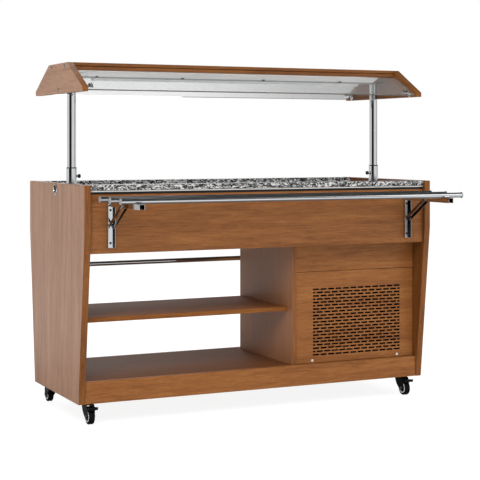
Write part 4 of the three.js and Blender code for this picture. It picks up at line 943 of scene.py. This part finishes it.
def strap(first, second, radius, x0, x1):
    """A flat bar with round ends between two points in the YZ plane."""
    along = (second - first).normalized()
    across = Vector((0, -along.z, along.y))
    outline = []
    for centre, start in ((second, -90), (first, 90)):
        for turn in range(0, 181, CURVE_STEP):
            angle = math.radians(start + turn)
            outline.append(centre + radius * (math.cos(angle) * along + math.sin(angle) * across))
    made = extruded([(point.y, point.z) for point in outline], x0, x1)
    rims = [edge for edge in made.edges if abs(edge.verts[0].co.x - edge.verts[1].co.x) < 1e-6]
    bmesh.ops.bevel(made, geom=rims, offset=0.0003, segments=2, profile=0.5, affect="EDGES")
    return made


def dress_brace(end, side):
    """The brace's two straps, one each side of the arm, with the rivet heads at their ends."""
    outer, inner = 0.0125, 0.0109  # of a strap, from the bracket's middle
    radius = 0.0066
    rivet_radius, rivet_height = 0.0034, 0.00025
    node = f"slide_brace_{end}_{side}"
    centre = SIDES[side] * BRACKET_X
    foot = PIVOT[end] - Vector((0, 0, BRACE_DROP))
    if end == "front":
        head = foot + Vector((0, -BRACE_REACH, BRACE_DROP))
    else:
        head = foot - Vector((0, 0, math.hypot(BRACE_REACH, BRACE_DROP)))
    parts = []
    for way in (-1, 1):
        x0, x1 = sorted((centre + way * inner, centre + way * outer))
        parts.append(strap(foot, head, radius, x0, x1))
        rivet = lathe([(0, 0), (rivet_radius, 0), (rivet_radius - 0.0002, rivet_height),
                       (0, rivet_height)], 24)
        parts.append(placed(rivet, (centre + way * inner, foot.y, foot.z), (-way, 0, 0)))
    piece(f"brace_{end}_{side}", parts, BRACE_CHROME, node, "chrome", node)


def dress_pins(end):
    """Domed heads on the pivot pins and on the braces' rivets, and the screws of the channels."""
    sign = ENDS[end]
    for side in SIDES:
        low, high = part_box(f"slide_channel_{end}_{side}")
        middle = (low.x + high.x) / 2
        half = (high.x - low.x) / 2 - 0.0015
        head = lathe([(0, 0)] + domed(0.0052, 0.0022), 32)
        pivot = PIVOT[end]
        places = []
        for way in (-1, 1):
            for z in (pivot.z, pivot.z - BRACE_DROP):
                places.append(((middle + way * half, pivot.y, z), (way, 0, 0)))
        piece(f"pins_{end}_{side}", copies(head, places), CHROME, "cabinet", "chrome")
        apron_low, apron_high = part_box(f"apron_{end}")
        web = apron_low.y - CHANNEL_SHEET if sign < 0 else apron_high.y + CHANNEL_SHEET
        screw = cross_screw(0.0045, 0.0016)
        places = [((middle, web, z), (0, sign, 0)) for z in (low.z + 0.018, high.z - 0.035)]
        piece(f"channel_screws_{end}_{side}", copies(screw, places), BLACK_STEEL,
              "cabinet", "black_steel")


for end in ENDS:
    dress_slide(end)
    dress_pins(end)
    for side in SIDES:
        dress_brace(end, side)


# ---- canopy fittings
GLASS_TILT = math.atan2(0.078, 0.153)  # a pane's rise over its run


def canopy_screws(side):
    """Three screw caps on the outer face of a canopy end."""
    apart, inset = 0.079, 0.014
    sign = SIDES[side]
    low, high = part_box(f"canopy_end_{side}")
    face = low.x if sign < 0 else high.x
    places = [((face, MIDDLE_Y + y, z), (sign, 0, 0))
              for y, z in ((-apart, high.z - inset), (apart, high.z - inset), (0, low.z + inset))]
    cap = lathe([(0, -0.0002), (0.0084, -0.0002), (0.0084, 0.0008), (0.0076, 0.0018),
                 (0.0062, 0.0022), (0.0034, 0.0022), (0.0030, 0.0012), (0, 0.0012)], 40)
    piece(f"canopy_screws_{side}", copies(cap, places), ZINC, "canopy", "zinc")


def pane_frame(end):
    """A pane's middle, its outward normal and the way up along it."""
    sign = ENDS[end]
    normal = Vector((0, sign * math.sin(GLASS_TILT), math.cos(GLASS_TILT)))
    up = Vector((0, -sign * math.cos(GLASS_TILT), math.sin(GLASS_TILT)))
    centre = centre_of(f"glass_{end}")
    centre.x = 0
    return centre, normal, up


def glass_clamps(end):
    """A bracket on each end board holds the pane with a bolt through a rubber washer."""
    centre, normal, up = pane_frame(end)
    for side, sign in SIDES.items():
        inner = sign * (abs(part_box(f"canopy_end_{side}")[0 if sign > 0 else 1].x))
        spot = centre - up * 0.045
        bolt_x = inner - sign * 0.026
        washer = lathe([(0, 0), (0.0085, 0), (0.0088, 0.0006), (0.0082, 0.002), (0, 0.002)], 36)
        outer = spot + normal * 0.0026
        rubber = [placed(washer.copy(), (bolt_x, outer.y, outer.z), normal)]
        under = spot - normal * 0.0026
        rubber.append(placed(washer, (bolt_x, under.y, under.z), -normal))
        piece(f"clamp_washers_{end}_{side}", rubber, RUBBER, "canopy", "rubber")
        cap = lathe([(0, 0)] + domed(0.0060, 0.0045), 32)
        top = spot + normal * 0.0046
        metal = [placed(cap, (bolt_x, top.y, top.z), normal)]
        turn = Matrix((Vector((1, 0, 0)), up, normal)).transposed().to_4x4()
        reach = abs(inner - bolt_x)
        for low, high in (((-0.010, -0.011, -0.0072), (reach - 0.0003, 0.011, -0.0047)),
                          ((reach - 0.0028, -0.011, -0.022), (reach - 0.0003, 0.011, -0.0047))):
            plate = block(low, high, 0.0006)
            if sign < 0:
                bmesh.ops.transform(plate, matrix=Matrix.Diagonal((-1, 1, 1, 1)), verts=plate.verts)
                bmesh.ops.reverse_faces(plate, faces=plate.faces)
            bmesh.ops.transform(plate, matrix=Matrix.Translation((bolt_x, spot.y, spot.z)) @ turn,
                                verts=plate.verts)
            metal.append(plate)
        piece(f"clamp_{end}_{side}", metal, CHROME, "canopy", "chrome")


def lamp():
    """The diffuser with its end caps."""
    low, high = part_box("lamp_strip")
    half = (high.y - low.y) / 2
    depth = high.z - low.z
    cap_length = 0.008
    fullness = 0.7  # 1 is round, less is nearer to a box
    outline = [(-half, 0)]
    for i in range(1, 16):
        angle = math.pi * i / 16
        outline.append((-half * math.cos(angle), -depth * math.sin(angle) ** fullness))
    outline.append((half, 0))

    def swept(x0, x1, scale=1.0):
        section = [(MIDDLE_Y + scale * y, high.z + scale * z) for y, z in outline]
        return extruded(section, x0, x1)
    piece("lamp_diffuser", [swept(low.x + cap_length, high.x - cap_length, 0.97)],
          LAMP, "canopy", "lamp", "lamp_strip")
    caps = [swept(low.x, low.x + cap_length), swept(high.x - cap_length, high.x)]
    piece("lamp_end_caps", caps, PALE_GREY, "canopy", "pale_grey")


def lamp_clips():
    """Small dark clips along the housing's lower front edge."""
    first_clip, clip_pitch, half_width = -0.592, 0.364, 0.006
    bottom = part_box("lamp_housing")[0].z
    clips = []
    for i in range(4):
        x = first_clip + i * clip_pitch
        clips.append(block((x - half_width, MIDDLE_Y - 0.034, bottom - 0.0045),
                           (x + half_width, MIDDLE_Y - 0.024, bottom + 0.003), 0.0008))
    piece("lamp_clips", clips, BLACK_PLASTIC, "canopy", "black_plastic")


for side in SIDES:
    canopy_screws(side)
for end in ENDS:
    glass_clamps(end)
lamp()
lamp_clips()


# ---- grille screws and the dark mat of painted shade behind the slots
def grille_screws():
    """The two screws in the lower corners of the grille panel."""
    left, right, height = 0.247, 0.6465, 0.1754
    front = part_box("front_grille_panel")[0].y
    screw = cross_screw(0.0052, 0.0018)
    places = [((x, front, height), (0, -1, 0)) for x in (left, right)]
    piece("grille_screws", copies(screw, places), PALE_GREY, "cabinet", "pale_grey")


def dust_filter():
    """A pleated dark mat behind the front slots, a dark sheet of painted shade inside the machine bay.
    """
    pitch, depth, mat = 0.008, 0.003, 0.0016
    x0, x1 = 0.225, 0.685
    z0, z1 = 0.185, 0.475
    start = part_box("front_grille_panel")[1].y + 0.0006
    folds = round((x1 - x0) / pitch * 2)
    made = bmesh.new()
    rows = []
    for layer in (0, mat):
        for z in (z0, z1):
            rows.append([made.verts.new((x0 + i * pitch / 2, start + layer + depth * (i % 2), z))
                         for i in range(folds + 1)])
    near_low, near_high, far_low, far_high = rows
    for i in range(folds):
        made.faces.new((near_low[i], near_low[i + 1], near_high[i + 1], near_high[i]))
        made.faces.new((far_low[i], far_high[i], far_high[i + 1], far_low[i + 1]))
        made.faces.new((near_low[i], far_low[i], far_low[i + 1], near_low[i + 1]))
        made.faces.new((near_high[i], near_high[i + 1], far_high[i + 1], far_high[i]))
    for i in (0, folds):
        made.faces.new((near_low[i], near_high[i], far_high[i], far_low[i]))
    bmesh.ops.recalc_face_normals(made, faces=made.faces)
    # painted shade: a dark sheet where there is only shade
    piece("dust_filter", [made], RUBBER, "cabinet", "rubber")


grille_screws()
dust_filter()


# ---- casters
def dress_wheel(corner):
    """A tyre on a black hub, with a raised white ring on each side."""
    low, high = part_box(f"caster_wheel_{corner}")
    centre = (low + high) / 2
    radius = (high.z - low.z) / 2
    half = (high.x - low.x) / 2
    body = f"wheel_{corner}"
    seat = radius - 0.0068
    groove = radius - 0.0009
    tread = [(seat, -half + 0.002), (radius - 0.0035, -half + 0.0022),
             (radius - 0.0012, -half + 0.0034), (radius, -half + 0.0062), (radius, -0.0045),
             (groove, -0.0038), (groove, 0.0), (groove, 0.0038), (radius, 0.0045),
             (radius, half - 0.0062), (radius - 0.0012, half - 0.0034),
             (radius - 0.0035, half - 0.0022), (seat, half - 0.002)]
    piece(f"tyre_{corner}", [placed(solid_ring(tread, 64), centre, (1, 0, 0))],
          RUBBER, body, "rubber", f"caster_wheel_{corner}")
    bore = 0.0044
    ring_inner, ring_outer = 0.0172, 0.0206
    side = [(bore, half), (0.0092, half), (0.010, half - 0.0007), (0.0118, half - 0.0044),
            (0.0155, half - 0.0052), (ring_inner, half - 0.0046), (ring_outer, half - 0.0034),
            (seat - 0.0008, half - 0.0016), (seat, half - 0.002)]
    hub = solid_ring(side + [(r, -x) for r, x in reversed(side)], 64)
    piece(f"hub_{corner}", [placed(hub, centre, (1, 0, 0))], BLACK_PLASTIC, body, "rubber")
    rings = []
    for way in (-1, 1):
        ring = solid_ring([(ring_inner, half - 0.0050), (ring_outer, half - 0.0038),
                           (ring_outer, half - 0.0012), (ring_outer - 0.0006, half - 0.0006),
                           (ring_inner + 0.0006, half - 0.0010), (ring_inner, half - 0.0016)], 64)
        rings.append(placed(ring, centre, (way, 0, 0)))
    piece(f"hub_ring_{corner}", rings, WHITE_PLASTIC, body, "pale_grey")


def axle_heads(corner):
    """A hexagon nut and washer at each end of the axle, and the ball race over the crown."""
    half = 0.0160  # from the wheel's middle to the fork's outer face
    swivel = 0.022  # from the fork's end to its swivel axis
    centre = centre_of(f"caster_wheel_{corner}")
    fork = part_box(f"caster_fork_{corner}")
    heads = []
    for way in (-1, 1):
        nut = lathe([(0, 0.0008), (0.0056, 0.0008), (0.0062, 0.0012), (0.0062, 0.0028),
                     (0.0054, 0.0034), (0, 0.0034)], 6)
        washer = lathe([(0, 0), (0.0074, 0), (0.0074, 0.0009), (0, 0.0009)], 32)
        for part in (nut, washer):
            heads.append(placed(part, (centre.x + way * half, centre.y, centre.z), (way, 0, 0)))
    piece(f"axle_nuts_{corner}", heads, ZINC, f"caster_{corner}", "zinc")
    swivel_y = fork[1].y - swivel if corner.startswith("front") else fork[0].y + swivel
    race = solid_ring([(0.012, fork[1].z - 0.0045), (0.0228, fork[1].z - 0.0045),
                       (0.0238, fork[1].z - 0.0034), (0.0238, fork[1].z - 0.0012),
                       (0.0226, fork[1].z), (0.012, fork[1].z)], 48)
    piece(f"ball_race_{corner}", [placed(race, (centre.x, swivel_y, 0))], BLACK_STEEL,
          f"caster_{corner}", "black_steel")


for corner in CORNERS:
    dress_wheel(corner)
    axle_heads(corner)


# ---- machinery
def dress_compressor():
    """The compressor's welded pot, with its seam and domed lid, and its two feet."""
    low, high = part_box("compressor")
    seam_radius = 0.079
    shell = 0.075
    shoulder = 0.089
    base = low.z + 0.006
    profile = [(0, 0.0), (shell - 0.012, 0.0), (shell - 0.004, 0.003), (shell, 0.010),
               (shell, 0.078), (seam_radius, 0.080), (seam_radius, 0.087), (shell, shoulder)]
    top = high.z - base
    for i in range(1, 12):
        angle = i / 12 * math.pi / 2
        profile.append((shell * math.cos(angle), shoulder + (top - shoulder) * math.sin(angle)))
    profile.append((0, top))
    centre = centre_of("compressor")
    centre.z = base
    pot = placed(lathe(profile, 56), centre)
    feet = []
    for y in (-0.0375, 0.0375):
        feet.append(block((low.x, centre.y + y - 0.012, low.z),
                          (high.x, centre.y + y + 0.012, low.z + 0.009), 0.002))
    piece("compressor_pot", [pot], BLACK_STEEL, "cabinet", "black_steel", "compressor")
    piece("compressor_feet", feet, BLACK_STEEL, "cabinet", "black_steel")


dress_compressor()
